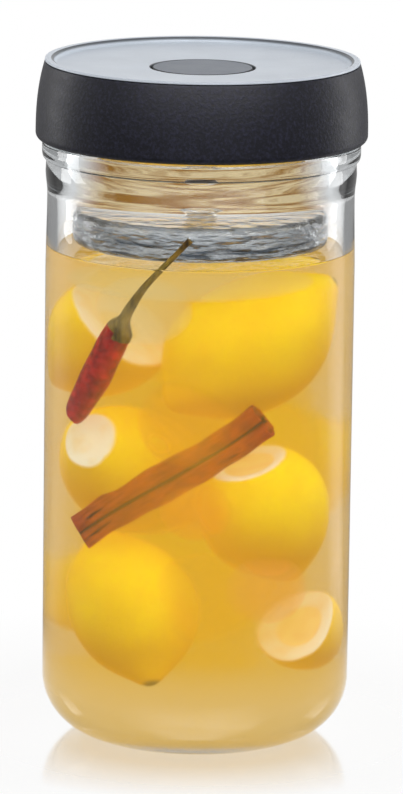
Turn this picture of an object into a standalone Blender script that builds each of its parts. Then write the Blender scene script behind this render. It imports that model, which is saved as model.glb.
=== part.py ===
"""A glass fermentation jar with a quick-turn lid, a press-to-vent valve and a glass weight.

Metres, +Z up. The origin is the centre of the base, on the plane that the jar stands on. Every
piece is round about the Z axis, and every joint turns about it or slides along it. The heights are
worked out from the base upwards to the mouth, and from the mouth through the lid, because the lid's
pieces lie on each other there. The weight then hangs its height on the valve above it.
"""

import math

import bmesh
import bpy

MM = 0.001

# Fits and fineness, shared by every piece
FIT_GAP = 0.3 * MM  # left between two pieces that touch
ROUND_STEPS = 48  # sides of the large turned pieces
SMALL_STEPS = 28  # sides of the valve's turned pieces

# Glass jar: body and base
BODY_RADIUS = 54.0 * MM
BODY_WALL = 4.0 * MM
BODY_HEIGHT = 192.7 * MM  # standing plane to the waist under the collar
WAIST_INSET = 0.45 * MM
WAIST_FADE = 28.0 * MM  # length below the waist in which the full radius is regained
HEEL_RADIUS = 20.8 * MM  # the large round corner between the side and the base
BASE_THICKNESS = 6.0 * MM
BEARING_RING = 11.0 * MM  # width of the flat ring that the jar stands on
PUSH_UP = 1.2 * MM  # hollow inside the bearing ring
PUSH_UP_SLOPE = 3.0 * MM  # width of the hollow's sloping edge

# Glass jar: collar, bead and neck
COLLAR_HEIGHT = 12.5 * MM
COLLAR_RISE = 8.0 * MM  # waist to the collar's widest line
COLLAR_PROUD = 0.2 * MM
BEAD_GROOVE = 0.25 * MM  # how far the line under the bead stands back from the collar
BEAD_HEIGHT = 7.2 * MM
BEAD_PROUD = 1.5 * MM
NECK_INSET = 2.8 * MM  # how far the neck stands back from the body
NECK_WALL = 3.8 * MM
RIM_ROUND = 1.2 * MM

# Screw thread: short ridges on the neck, and lugs inside the lid that run under them
THREAD_STARTS = 4
THREAD_SWEEP = math.radians(75)
THREAD_FOOT = 4.9 * MM  # bead to the lowest edge of a ridge
THREAD_HEAD = 3.5 * MM  # highest edge of a ridge to the rim
THREAD_FREE_GAP = 1.0 * MM  # slack that is left in the channel between two ridges
RIDGE_WIDTH = 2.4 * MM
RIDGE_DEPTH = 1.6 * MM
LUG_WIDTH = 2.2 * MM
LUG_GAP = 0.4 * MM  # under the ridge that the lug pulls against
LUG_CLEARANCE = 0.5 * MM  # lug tip to the neck
LUG_START = math.radians(5)
LUG_SWEEP = math.radians(35)
TIP_SHARE = 0.6  # width of a ridge's tip as a share of its root
ROOT_SINK = 0.8 * MM  # how deep a ridge or lug is rooted in its wall

# Lid skirt
SKIRT_CLEARANCE = 1.4 * MM  # ridge tip to the inside of the skirt
SKIRT_WALL = 3.6 * MM  # at the lower edge, where it is widest
SKIRT_TAPER = 3.3 * MM  # how much narrower the radius is at the top
SKIRT_CURVE = 2.4  # power of the side's curve: 1 is a straight cone
SKIRT_EDGE_ROUND = 2.2 * MM
SKIRT_BEVEL = 0.6 * MM
SKIRT_EDGE_WALL = 1.6 * MM  # beside the top plate
SKIRT_OVERLAP = 0.6 * MM  # how far the skirt reaches down past the top of the bead
FLANGE_REACH = 8.2 * MM
FLANGE_THICKNESS = 1.8 * MM

# Lid top plate: a shallow dish with a lip over the skirt
LIP_THICKNESS = 0.8 * MM
LIP_ROUND = 0.35 * MM
RIM_WIDTH = 2.3 * MM
DISH_WALL = 1.1 * MM
DISH_DEPTH = 2.1 * MM  # rim to the edge of the field
DISH_FALL = 0.9 * MM  # edge of the field to the button
DISH_ROUND = 1.6 * MM
DISH_FLOOR = 1.7 * MM  # thickness at the button

# Lid liner and gasket
LINER_THICKNESS = 2.0 * MM
LINER_CLEARANCE = 0.6 * MM  # to the inside of the skirt
SPIGOT_WALL = 2.7 * MM
PLUG_GAP = 0.5 * MM  # plug ring to the glass mouth
PLUG_WALL = 2.0 * MM
PLUG_LENGTH = 5.0 * MM
WELL_CLEARANCE = 1.8 * MM  # around the button
WELL_WALL = 1.7 * MM
WELL_FLOOR = 1.5 * MM
WELL_DEPTH = 10.2 * MM  # top of the liner to the floor of the well
GASKET_THICKNESS = 2.0 * MM
GASKET_OVERHANG = 1.4 * MM  # past the outside of the glass rim

# Vent button and valve
BUTTON_RADIUS = 17.5 * MM
BUTTON_GAP = 0.8 * MM  # the dark ring around the button
BUTTON_TOP = 2.2 * MM
BUTTON_WALL = 1.6 * MM
BUTTON_DROP = 2.5 * MM  # its wall below its top
BUTTON_ROUND = 0.5 * MM
HUB_WALL = 1.7 * MM
HUB_DEPTH = 5.0 * MM  # socket for the plunger
PRESS_TRAVEL = 2.0 * MM
STEM_RADIUS = 2.2 * MM
TUBE_RADIUS = 5.6 * MM
TUBE_BORE = 3.4 * MM
TUBE_LENGTH = 20.0 * MM  # below its flange
TUBE_FLANGE = 1.3 * MM
FLANGE_OVERLAP = 2.5 * MM  # how far the tube's flange reaches over the membrane
HEAD_THICKNESS = 1.2 * MM
SEAL_THICKNESS = 0.8 * MM
NUT_HEIGHT = 3.2 * MM
NUT_REACH = 4.6 * MM  # bore to corner
SPRING_WIRE = 0.45 * MM  # half of its thickness
SPRING_CLEARANCE = 1.75 * MM  # to the hub inside it
SPRING_TURNS = 4.5
SPRING_POINTS = 12  # in each turn

# Vent membrane: a loose silicone ring over a circle of holes
MEMBRANE_THICKNESS = 0.8 * MM
MEMBRANE_WIDTH = 9.0 * MM
MEMBRANE_LIFT = 0.6 * MM
VENT_COUNT = 6
VENT_RADIUS = 1.3 * MM
VENT_INSET = 3.5 * MM  # membrane's outer edge to the holes' centres

# Glass weight with a mushroom knob
WEIGHT_SIDE_GAP = 2.8 * MM
WEIGHT_THICKNESS = 12.0 * MM
WEIGHT_TOP_ROUND = 3.0 * MM
WEIGHT_FOOT_ROUND = 2.5 * MM
WEIGHT_LIFT = 2.5 * MM  # how far it can rise under the closed lid
KNOB_HEIGHT = 9.5 * MM
KNOB_RADIUS = 7.35 * MM
KNOB_NECK = 5.4 * MM
KNOB_DOME = 1.8 * MM  # top of the knob to its widest line
KNOB_CONE = 2.9 * MM  # widest line to the neck
KNOB_FILLET = 1.2 * MM

# Radii that follow
body_bore = BODY_RADIUS - BODY_WALL
neck_radius = BODY_RADIUS - NECK_INSET
neck_bore = neck_radius - NECK_WALL
bead_radius = BODY_RADIUS + BEAD_PROUD
collar_radius = BODY_RADIUS + COLLAR_PROUD
waist_radius = BODY_RADIUS - WAIST_INSET
skirt_bore = neck_radius + RIDGE_DEPTH + SKIRT_CLEARANCE
skirt_radius = skirt_bore + SKIRT_WALL
lid_top_radius = skirt_radius - SKIRT_TAPER
plate_seat_radius = lid_top_radius - SKIRT_EDGE_WALL
flange_bore = skirt_bore - FLANGE_REACH
plug_radius = neck_bore - PLUG_GAP
well_bore = BUTTON_RADIUS + WELL_CLEARANCE
tube_hole = TUBE_RADIUS + FIT_GAP
oring_wire = (MEMBRANE_THICKNESS + MEMBRANE_LIFT) / 2  # leaves the membrane room to lift
oring_radius = tube_hole + FIT_GAP + oring_wire
membrane_bore = oring_radius + oring_wire + FIT_GAP
membrane_radius = membrane_bore + MEMBRANE_WIDTH
tube_flange_radius = membrane_bore + FLANGE_OVERLAP
hub_bore = STEM_RADIUS + FIT_GAP
hub_radius = hub_bore + HUB_WALL
spring_radius = hub_radius + SPRING_CLEARANCE + SPRING_WIRE
head_radius = TUBE_RADIUS - FIT_GAP

# Heights that follow, from the standing plane up through the lid
bead_bottom_z = BODY_HEIGHT + COLLAR_HEIGHT
bead_z = bead_bottom_z + BEAD_HEIGHT / 2
bead_top_z = bead_bottom_z + BEAD_HEIGHT
thread_lead = THREAD_STARTS * (RIDGE_WIDTH + LUG_WIDTH + LUG_GAP + THREAD_FREE_GAP)
ridge_z = bead_top_z + THREAD_FOOT + RIDGE_WIDTH / 2
ridge_rise = thread_lead * THREAD_SWEEP / math.tau
rim_z = ridge_z + ridge_rise + RIDGE_WIDTH / 2 + THREAD_HEAD
gasket_z = rim_z + FIT_GAP
liner_z = gasket_z + GASKET_THICKNESS + FIT_GAP
liner_top_z = liner_z + LINER_THICKNESS
flange_z = liner_top_z + FIT_GAP
plate_z = flange_z + FLANGE_THICKNESS + FIT_GAP
field_z = plate_z + DISH_FLOOR
lid_top_z = field_z + DISH_FALL + DISH_DEPTH
skirt_z = bead_top_z - SKIRT_OVERLAP

# Heights that follow, down through the valve to the weight
well_floor_z = liner_top_z - WELL_DEPTH
oring_z = well_floor_z + FIT_GAP + oring_wire
tube_z = oring_z + oring_wire + FIT_GAP
tube_top_z = tube_z + TUBE_FLANGE
tube_end_z = tube_z - TUBE_LENGTH
seal_z = tube_end_z - FIT_GAP - SEAL_THICKNESS
head_z = seal_z - FIT_GAP - HEAD_THICKNESS
hub_z = tube_top_z + PRESS_TRAVEL + FIT_GAP
button_z = field_z - BUTTON_TOP
knob_top_z = head_z - PRESS_TRAVEL - FIT_GAP - WEIGHT_LIFT
weight_z = knob_top_z - KNOB_HEIGHT - WEIGHT_THICKNESS


def clear_scene():
    """Remove every object, collection and material of the scene that the file opened with."""
    for scene_object in list(bpy.data.objects):
        bpy.data.objects.remove(scene_object, do_unlink=True)
    for collection in list(bpy.data.collections):
        bpy.data.collections.remove(collection)
    for old_material in list(bpy.data.materials):
        bpy.data.materials.remove(old_material)


def new_collection(name):
    """A collection in the scene."""
    collection = bpy.data.collections.new(name)
    bpy.context.scene.collection.children.link(collection)
    return collection


def finish(name, colour, roughness, metallic=0.0, transmission=0.0):
    """A Principled material of one colour."""
    made = bpy.data.materials.new(name)
    made.use_nodes = True
    shader = made.node_tree.nodes["Principled BSDF"]
    shader.inputs["Base Color"].default_value = (*colour, 1.0)
    shader.inputs["Roughness"].default_value = roughness
    shader.inputs["Metallic"].default_value = metallic
    shader.inputs["Transmission Weight"].default_value = transmission
    made.diffuse_color = (*colour, 1.0)
    return made


def arc(centre, radii, start, end, steps):
    """Points of an elliptical arc in (radius, height), by angle in degrees from the +radius side."""
    angles = [math.radians(start + (end - start) * k / steps) for k in range(steps + 1)]
    return [
        (centre[0] + radii[0] * math.cos(a), centre[1] + radii[1] * math.sin(a)) for a in angles
    ]


def eased(start, end, steps):
    """Points from one (radius, height) to another, with the radius changing slowly at both ends."""
    shares = [k / steps for k in range(steps + 1)]
    return [
        (
            start[0] + (end[0] - start[0]) * s * s * (3 - 2 * s),
            start[1] + (end[1] - start[1]) * s,
        )
        for s in shares
    ]


def new_object(name, mesh, collection, material=None):
    """An object in a collection, with its material."""
    made = bpy.data.objects.new(name, mesh)
    collection.objects.link(made)
    if material:
        mesh.materials.append(material)
    return made


def outline_mesh(name, outline, closed):
    """The edges of an outline of (radius, height) points, standing in the XZ plane."""
    mesh = bpy.data.meshes.new(name)
    edges = [(k, k + 1) for k in range(len(outline) - 1)]
    if closed:
        edges.append((len(outline) - 1, 0))
    mesh.from_pydata([(radius, 0.0, height) for radius, height in outline], edges, [])
    return mesh


def turned(name, outline, material, steps=ROUND_STEPS):
    """Turn an outline about Z. It runs clockwise: out over the top, down the outer side and back
    under. It starts and ends on the axis where the piece is solid there, and else closes on itself."""
    on_axis = outline[0][0] == 0.0
    made = new_object(name, outline_mesh(name, outline, not on_axis), PART, material)
    screw = made.modifiers.new("turn", "SCREW")
    screw.steps = steps
    screw.render_steps = steps
    screw.use_merge_vertices = True
    screw.merge_threshold = 0.00001
    return made


def guide(made):
    """Mark an object as a cutter, which is not a piece of the jar."""
    made.hide_render = True
    made.display_type = "WIRE"
    return made


def combine(made, other, operation):
    """Join another shape to a piece, or cut it out."""
    modifier = made.modifiers.new(other.name, "BOOLEAN")
    modifier.object = other
    modifier.operation = operation
    modifier.solver = "EXACT"


def helical_bars(name, inner, outer, root_outside, width, start, sweep, mid_z):
    """Ribs of a trapezoid section on a right-hand helix, one for each thread start. Each begins at
    the start angle with its middle at mid_z, and climbs at the thread's lead."""
    tip = width * TIP_SHARE
    inner_width = tip if root_outside else width
    outer_width = width if root_outside else tip
    section = [
        (inner, inner_width / 2),
        (outer, outer_width / 2),
        (outer, -outer_width / 2),
        (inner, -inner_width / 2),
    ]
    steps = max(3, round(sweep / math.tau * ROUND_STEPS))
    bars = bmesh.new()
    for number in range(THREAD_STARTS):
        turn = start + math.tau * number / THREAD_STARTS
        rings = []
        for step in range(steps + 1):
            angle = turn + sweep * step / steps
            height = mid_z + thread_lead * (angle - turn) / math.tau
            rings.append(
                [
                    bars.verts.new((r * math.cos(angle), r * math.sin(angle), height + z))
                    for r, z in section
                ]
            )
        for first, second in zip(rings, rings[1:]):
            for k in range(len(section)):
                near, far = k, (k + 1) % len(section)
                bars.faces.new((first[near], first[far], second[far], second[near]))
        bars.faces.new(rings[0][::-1])
        bars.faces.new(rings[-1])
    bmesh.ops.recalc_face_normals(bars, faces=bars.faces)
    mesh = bpy.data.meshes.new(name)
    bars.to_mesh(mesh)
    bars.free()
    return guide(new_object(name, mesh, CUTTERS))


def make_glass_jar():
    """The jar, from the middle of its floor up the inside, over the rim and down the outside."""
    inner_heel = HEEL_RADIUS - BODY_WALL
    heel_corner = BODY_RADIUS - HEEL_RADIUS
    ring_inside = heel_corner - BEARING_RING
    groove_radius = collar_radius - BEAD_GROOVE
    outline = [(0.0, BASE_THICKNESS)]
    outline += arc(
        (body_bore - inner_heel, BASE_THICKNESS + inner_heel), (inner_heel, inner_heel), -90, 0, 5
    )
    outline += eased((body_bore, BODY_HEIGHT), (neck_bore, bead_bottom_z), 5)
    outline += arc((neck_bore + RIM_ROUND, rim_z - RIM_ROUND), (RIM_ROUND, RIM_ROUND), 180, 90, 3)
    outline += arc((neck_radius - RIM_ROUND, rim_z - RIM_ROUND), (RIM_ROUND, RIM_ROUND), 90, 0, 3)
    outline += arc(
        (neck_radius, bead_z), (bead_radius - neck_radius, BEAD_HEIGHT / 2), 90, 0, 4
    )
    outline += arc(
        (groove_radius, bead_z), (bead_radius - groove_radius, BEAD_HEIGHT / 2), 0, -90, 4
    )[1:]
    outline += eased((collar_radius, BODY_HEIGHT + COLLAR_RISE), (waist_radius, BODY_HEIGHT), 3)
    outline.append((BODY_RADIUS, BODY_HEIGHT - WAIST_FADE))
    outline += arc((heel_corner, HEEL_RADIUS), (HEEL_RADIUS, HEEL_RADIUS), 0, -90, 7)
    outline += [(ring_inside, 0.0), (ring_inside - PUSH_UP_SLOPE, PUSH_UP), (0.0, PUSH_UP)]
    jar = turned("glass_jar", outline, finish("clear_glass", (0.86, 0.91, 0.90), 0.02, 0.0, 1.0))
    ridges = helical_bars(
        "neck_ridges",
        neck_radius - ROOT_SINK,
        neck_radius + RIDGE_DEPTH,
        False,
        RIDGE_WIDTH,
        0.0,
        THREAD_SWEEP,
        ridge_z,
    )
    combine(jar, ridges, "UNION")


def make_lid_skirt(lid_axis):
    """The screw cap's outer wall with its inner flange, and the lugs that run under the ridges."""
    edge_z = SKIRT_EDGE_ROUND
    land_z = lid_top_z - LIP_THICKNESS - FIT_GAP - skirt_z
    full_height = lid_top_z - skirt_z
    flange_low = flange_z - skirt_z
    flange_high = flange_low + FLANGE_THICKNESS
    side_steps = 8
    side = []
    for step in range(side_steps):
        height = land_z + (edge_z - land_z) * step / side_steps
        side.append((skirt_side(height, edge_z, full_height), height))
    outline = side
    outline += arc(
        (skirt_radius - SKIRT_EDGE_ROUND, edge_z),
        (SKIRT_EDGE_ROUND, SKIRT_EDGE_ROUND),
        0,
        -90,
        4,
    )
    outline += [
        (skirt_bore + SKIRT_BEVEL, 0.0),
        (skirt_bore, SKIRT_BEVEL),
        (skirt_bore, flange_low),
        (flange_bore, flange_low),
        (flange_bore, flange_high),
        (plate_seat_radius, flange_high),
        (plate_seat_radius, land_z),
    ]
    skirt = turned("lid_skirt", outline, finish("anthracite_plastic", (0.028, 0.029, 0.034), 0.55))
    lug_z = ridge_z - (RIDGE_WIDTH + LUG_WIDTH) / 2 - LUG_GAP
    lug_z += thread_lead * LUG_START / math.tau - skirt_z
    lugs = helical_bars(
        "skirt_lugs",
        neck_radius + LUG_CLEARANCE,
        skirt_bore + ROOT_SINK,
        True,
        LUG_WIDTH,
        LUG_START,
        LUG_SWEEP,
        lug_z,
    )
    place(lugs, lid_axis, skirt_z)
    combine(skirt, lugs, "UNION")
    place(skirt, lid_axis, skirt_z)


def skirt_side(height, edge_z, full_height):
    """Outer radius of the skirt at a height above its lower edge: widest at the edge's round, and
    drawn in towards the top by a power of the share of the height."""
    share = (height - edge_z) / (full_height - edge_z)
    return skirt_radius - SKIRT_TAPER * share**SKIRT_CURVE


def make_lid_top_plate(lid_axis):
    """The pale dish in the lid's top, with its raised rim and the hole for the button."""
    top = lid_top_z - plate_z
    lip_low = top - LIP_THICKNESS
    wall_outside = plate_seat_radius - FIT_GAP
    wall_inside = wall_outside - DISH_WALL
    edge_height = DISH_FLOOR + DISH_FALL
    round_centre = (wall_inside - DISH_ROUND, edge_height + DISH_ROUND)
    lip_radius = skirt_side(lid_top_z - LIP_THICKNESS - skirt_z, SKIRT_EDGE_ROUND, lid_top_z - skirt_z)
    outline = [(lid_top_radius - RIM_WIDTH, top)]
    outline += arc(
        (lid_top_radius - LIP_ROUND, top - LIP_ROUND), (LIP_ROUND, LIP_ROUND), 90, 0, 2
    )
    outline += [
        (lip_radius, lip_low),
        (wall_outside, lip_low),
        (wall_outside, 0.0),
        (BUTTON_RADIUS + BUTTON_GAP, 0.0),
        (BUTTON_RADIUS + BUTTON_GAP, DISH_FLOOR),
    ]
    outline += arc(round_centre, (DISH_ROUND, DISH_ROUND), -90, 0, 3)
    plate = turned("lid_top_plate", outline, finish("satin_grey_plastic", (0.36, 0.38, 0.41), 0.38))
    place(plate, lid_axis, plate_z)


def make_lid_liner(lid_axis):
    """The inner disc: a spigot up through the flange, a plug ring in the mouth and the valve well."""
    spigot_radius = flange_bore - FIT_GAP
    spigot_high = plate_z - FIT_GAP - liner_z
    floor_low = well_floor_z - WELL_FLOOR - liner_z
    floor_high = well_floor_z - liner_z
    outline = [
        (spigot_radius - SPIGOT_WALL, spigot_high),
        (spigot_radius, spigot_high),
        (spigot_radius, LINER_THICKNESS),
        (skirt_bore - LINER_CLEARANCE, LINER_THICKNESS),
        (skirt_bore - LINER_CLEARANCE, 0.0),
        (plug_radius, 0.0),
        (plug_radius, -PLUG_LENGTH),
        (plug_radius - PLUG_WALL, -PLUG_LENGTH),
        (plug_radius - PLUG_WALL, 0.0),
        (well_bore + WELL_WALL, 0.0),
        (well_bore + WELL_WALL, floor_low),
        (tube_hole, floor_low),
        (tube_hole, floor_high),
        (well_bore, floor_high),
        (well_bore, LINER_THICKNESS),
        (spigot_radius - SPIGOT_WALL, LINER_THICKNESS),
    ]
    liner = turned("lid_liner", outline, finish("white_plastic", (0.78, 0.79, 0.78), 0.4))
    vents = bmesh.new()
    for number in range(VENT_COUNT):
        made = bmesh.ops.create_cone(
            vents, cap_ends=True, segments=12, radius1=VENT_RADIUS, radius2=VENT_RADIUS, depth=0.01
        )
        angle = math.tau * number / VENT_COUNT
        reach = membrane_radius - VENT_INSET
        offset = (reach * math.cos(angle), reach * math.sin(angle), floor_high)
        bmesh.ops.translate(vents, verts=made["verts"], vec=offset)
    mesh = bpy.data.meshes.new("vent_holes")
    vents.to_mesh(mesh)
    vents.free()
    holes = guide(new_object("vent_holes", mesh, CUTTERS))
    place(holes, lid_axis, liner_z)
    combine(liner, holes, "DIFFERENCE")
    place(liner, lid_axis, liner_z)


def make_lid_gasket(seal_axis):
    """The silicone ring between the glass rim and the liner. It rises with the lid."""
    inside = plug_radius + FIT_GAP
    outside = neck_radius + GASKET_OVERHANG
    outline = [
        (inside, GASKET_THICKNESS),
        (outside, GASKET_THICKNESS),
        (outside, 0.0),
        (inside, 0.0),
    ]
    gasket = turned("lid_gasket", outline, finish("clear_silicone", (0.72, 0.74, 0.74), 0.45))
    place(gasket, seal_axis, gasket_z)


def make_valve_tube(lid_axis):
    """The dark tube through the liner. Its flange lies on the ring seal and over the membrane."""
    outline = [
        (TUBE_BORE, TUBE_FLANGE),
        (tube_flange_radius, TUBE_FLANGE),
        (tube_flange_radius, 0.0),
        (TUBE_RADIUS, 0.0),
        (TUBE_RADIUS, -TUBE_LENGTH),
        (TUBE_BORE, -TUBE_LENGTH),
    ]
    tube = turned("valve_tube", outline, finish("dark_plastic", (0.035, 0.03, 0.028), 0.5), SMALL_STEPS)
    place(tube, lid_axis, tube_z)


def make_valve_nut(lid_axis):
    """The hexagonal nut that holds the tube from under the liner."""
    centre_z = well_floor_z - WELL_FLOOR - FIT_GAP - NUT_HEIGHT / 2
    bpy.ops.mesh.primitive_cylinder_add(
        vertices=6, radius=tube_hole + NUT_REACH, depth=NUT_HEIGHT, location=(0.0, 0.0, 0.0)
    )
    nut = bpy.context.object
    nut.name = "valve_nut"
    nut.data.name = "valve_nut"
    nut.data.materials.append(finish("nut_plastic", (0.05, 0.05, 0.052), 0.5))
    bpy.ops.mesh.primitive_cylinder_add(
        vertices=SMALL_STEPS, radius=tube_hole, depth=2 * NUT_HEIGHT, location=(0.0, 0.0, 0.0)
    )
    bore = bpy.context.object
    bore.name = "nut_bore"
    for made, home in ((nut, PART), (bore, CUTTERS)):
        for collection in list(made.users_collection):
            collection.objects.unlink(made)
        home.objects.link(made)
        place(made, lid_axis, centre_z)
    combine(nut, guide(bore), "DIFFERENCE")


def make_valve_oring(lid_axis):
    """The ring seal under the tube's flange."""
    bpy.ops.mesh.primitive_torus_add(
        major_radius=oring_radius,
        minor_radius=oring_wire,
        major_segments=SMALL_STEPS,
        minor_segments=8,
        location=(0.0, 0.0, 0.0),
    )
    oring = bpy.context.object
    oring.name = "valve_oring"
    oring.data.shade_smooth()
    oring.data.materials.append(finish("black_rubber", (0.02, 0.02, 0.02), 0.6))
    for collection in list(oring.users_collection):
        collection.objects.unlink(oring)
    PART.objects.link(oring)
    place(oring, lid_axis, oring_z)


def make_valve_plunger(button_axis):
    """The stem under the button, with the head that shuts the tube's lower end."""
    stem_top = hub_z + HUB_DEPTH - FIT_GAP - head_z
    edge = HEAD_THICKNESS / 3
    outline = [
        (0.0, stem_top),
        (STEM_RADIUS, stem_top),
        (STEM_RADIUS, HEAD_THICKNESS),
        (head_radius, HEAD_THICKNESS),
        (head_radius, edge),
        (head_radius - edge, 0.0),
        (0.0, 0.0),
    ]
    plunger = turned(
        "valve_plunger", outline, finish("plunger_plastic", (0.04, 0.035, 0.03), 0.45), SMALL_STEPS
    )
    place(plunger, button_axis, head_z)


def make_valve_seal(button_axis):
    """The soft washer on the plunger's head."""
    outline = [
        (hub_bore, SEAL_THICKNESS),
        (head_radius - FIT_GAP, SEAL_THICKNESS),
        (head_radius - FIT_GAP, 0.0),
        (hub_bore, 0.0),
    ]
    seal = turned("valve_seal", outline, finish("seal_silicone", (0.3, 0.2, 0.11), 0.5), SMALL_STEPS)
    place(seal, button_axis, seal_z)


def make_valve_spring(lid_axis):
    """The coil that lifts the button again, from the tube's flange to the underside of the button."""
    low = tube_top_z + FIT_GAP + SPRING_WIRE
    high = button_z - FIT_GAP - SPRING_WIRE
    count = round(SPRING_TURNS * SPRING_POINTS) + 1
    curve = bpy.data.curves.new("valve_spring", "CURVE")
    curve.dimensions = "3D"
    curve.bevel_depth = SPRING_WIRE
    curve.bevel_resolution = 1
    curve.use_fill_caps = True
    coil = curve.splines.new("POLY")
    coil.points.add(count - 1)
    for number, point in enumerate(coil.points):
        share = number / (count - 1)
        angle = math.tau * SPRING_TURNS * share
        height = (high - low) * share
        point.co = (spring_radius * math.cos(angle), spring_radius * math.sin(angle), height, 1.0)
    spring = new_object("valve_spring", curve, PART)
    curve.materials.append(finish("spring_steel", (0.6, 0.6, 0.61), 0.3, 1.0))
    place(spring, lid_axis, low)


def make_vent_button(button_axis):
    """The round button in the lid's top: a cap with a hub below it that holds the plunger."""
    hub_low = hub_z - button_z
    socket_high = hub_low + HUB_DEPTH
    outline = [(0.0, BUTTON_TOP)]
    outline += arc(
        (BUTTON_RADIUS - BUTTON_ROUND, BUTTON_TOP - BUTTON_ROUND),
        (BUTTON_ROUND, BUTTON_ROUND),
        90,
        0,
        2,
    )
    outline += [
        (BUTTON_RADIUS, -BUTTON_DROP),
        (BUTTON_RADIUS - BUTTON_WALL, -BUTTON_DROP),
        (BUTTON_RADIUS - BUTTON_WALL, 0.0),
        (hub_radius, 0.0),
        (hub_radius, hub_low),
        (hub_bore, hub_low),
        (hub_bore, socket_high),
        (0.0, socket_high),
    ]
    button = turned("vent_button", outline, finish("button_grey", (0.15, 0.16, 0.19), 0.6), 40)
    place(button, button_axis, button_z)


def make_vent_membrane(membrane_axis):
    """The loose silicone ring that lets gas out of the holes in the well's floor."""
    outline = [
        (membrane_bore, MEMBRANE_THICKNESS),
        (membrane_radius, MEMBRANE_THICKNESS),
        (membrane_radius, 0.0),
        (membrane_bore, 0.0),
    ]
    membrane = turned(
        "vent_membrane", outline, finish("membrane_silicone", (0.55, 0.56, 0.55), 0.5), SMALL_STEPS
    )
    place(membrane, membrane_axis, well_floor_z + FIT_GAP)


def make_glass_weight(weight_axis):
    """The clear disc that keeps the food under, with its mushroom knob."""
    radius = neck_bore - WEIGHT_SIDE_GAP
    knob_top = WEIGHT_THICKNESS + KNOB_HEIGHT
    knob_wide = knob_top - KNOB_DOME
    outline = [(0.0, knob_top)]
    outline += arc((0.0, knob_wide), (KNOB_RADIUS, KNOB_DOME), 90, 0, 5)[1:]
    outline.append((KNOB_NECK, knob_wide - KNOB_CONE))
    outline += arc(
        (KNOB_NECK + KNOB_FILLET, WEIGHT_THICKNESS + KNOB_FILLET),
        (KNOB_FILLET, KNOB_FILLET),
        180,
        270,
        2,
    )
    outline += arc(
        (radius - WEIGHT_TOP_ROUND, WEIGHT_THICKNESS - WEIGHT_TOP_ROUND),
        (WEIGHT_TOP_ROUND, WEIGHT_TOP_ROUND),
        90,
        0,
        4,
    )
    outline += arc(
        (radius - WEIGHT_FOOT_ROUND, WEIGHT_FOOT_ROUND),
        (WEIGHT_FOOT_ROUND, WEIGHT_FOOT_ROUND),
        0,
        -90,
        3,
    )
    outline.append((0.0, 0.0))
    weight = turned("glass_weight", outline, finish("weight_glass", (0.88, 0.92, 0.92), 0.03, 0.0, 1.0))
    place(weight, weight_axis, weight_z)


def joint_axis(name, height, parent=None):
    """An empty on the jar's axis that carries the pieces of one moving group."""
    made = new_object(name, None, PART)
    made.empty_display_size = 0.02
    place(made, parent, height)
    return made


def place(made, parent, height):
    """Stand an object on the jar's axis at a height above the base, under its parent."""
    made.parent = parent
    carried = 0.0
    while parent:
        carried += parent.location.z
        parent = parent.parent
    made.location = (0.0, 0.0, height - carried)


def make_all():
    """Make every piece, each moving group under the empty on its axis."""
    make_glass_jar()
    weight_axis = joint_axis("weight_slide", weight_z)
    make_glass_weight(weight_axis)
    seal_axis = joint_axis("lid_rise", rim_z)
    make_lid_gasket(seal_axis)
    lid_axis = joint_axis("lid_turn", rim_z, seal_axis)
    make_lid_skirt(lid_axis)
    make_lid_top_plate(lid_axis)
    make_lid_liner(lid_axis)
    make_valve_tube(lid_axis)
    make_valve_nut(lid_axis)
    make_valve_oring(lid_axis)
    make_valve_spring(lid_axis)
    button_axis = joint_axis("button_press", field_z, lid_axis)
    make_vent_button(button_axis)
    make_valve_plunger(button_axis)
    make_valve_seal(button_axis)
    membrane_axis = joint_axis("membrane_lift", well_floor_z, lid_axis)
    make_vent_membrane(membrane_axis)


clear_scene()
PART = new_collection("fermentation_jar")
CUTTERS = new_collection("cutters")
make_all()
bpy.context.view_layer.update()
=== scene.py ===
"""Fine surfaces, finishes and a studio for a glass fermentation jar with a press-to-vent screw lid.

Metres, +Z up. The origin is the centre of the jar's base. Every piece of the jar is round about the
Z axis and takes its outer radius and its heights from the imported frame, so a change of the model
changes the surfaces with it. The sizes that the frame can't give, such as the rounding of an edge,
the waves in pressed glass or the grain of a moulding, are named here.
"""

import math

import bmesh
import bpy
import numpy as np
from bpy.props import BoolProperty, FloatProperty, FloatVectorProperty, IntProperty, PointerProperty
from mathutils import Matrix, Vector


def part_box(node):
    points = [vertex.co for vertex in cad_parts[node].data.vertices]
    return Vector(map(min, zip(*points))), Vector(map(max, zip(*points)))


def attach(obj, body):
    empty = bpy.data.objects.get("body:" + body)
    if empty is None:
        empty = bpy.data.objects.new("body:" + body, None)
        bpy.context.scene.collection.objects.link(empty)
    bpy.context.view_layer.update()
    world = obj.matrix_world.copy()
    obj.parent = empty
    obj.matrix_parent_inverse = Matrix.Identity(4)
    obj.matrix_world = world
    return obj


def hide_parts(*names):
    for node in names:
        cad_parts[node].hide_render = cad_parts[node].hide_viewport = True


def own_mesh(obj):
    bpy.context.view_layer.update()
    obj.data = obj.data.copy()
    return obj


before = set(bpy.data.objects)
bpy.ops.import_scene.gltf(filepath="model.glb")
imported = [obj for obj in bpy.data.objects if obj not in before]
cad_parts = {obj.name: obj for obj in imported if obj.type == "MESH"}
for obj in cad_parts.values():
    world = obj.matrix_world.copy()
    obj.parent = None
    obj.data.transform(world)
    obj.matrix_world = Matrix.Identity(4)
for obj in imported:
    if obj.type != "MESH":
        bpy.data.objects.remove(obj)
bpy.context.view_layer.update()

bl_info = {
    "name": "Fermentation Jar",
    "version": (1, 0, 0),
    "blender": (4, 5, 0),
    "location": "3D View > Sidebar > Jar",
    "description": "Surfaces and finishes of a glass fermentation jar with a vent lid, and its studio",
    "category": "Add Mesh",
}

MM = 0.001
TURN = math.tau
WELD = 1e-7
WHITE = (1.0, 1.0, 1.0)

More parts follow.
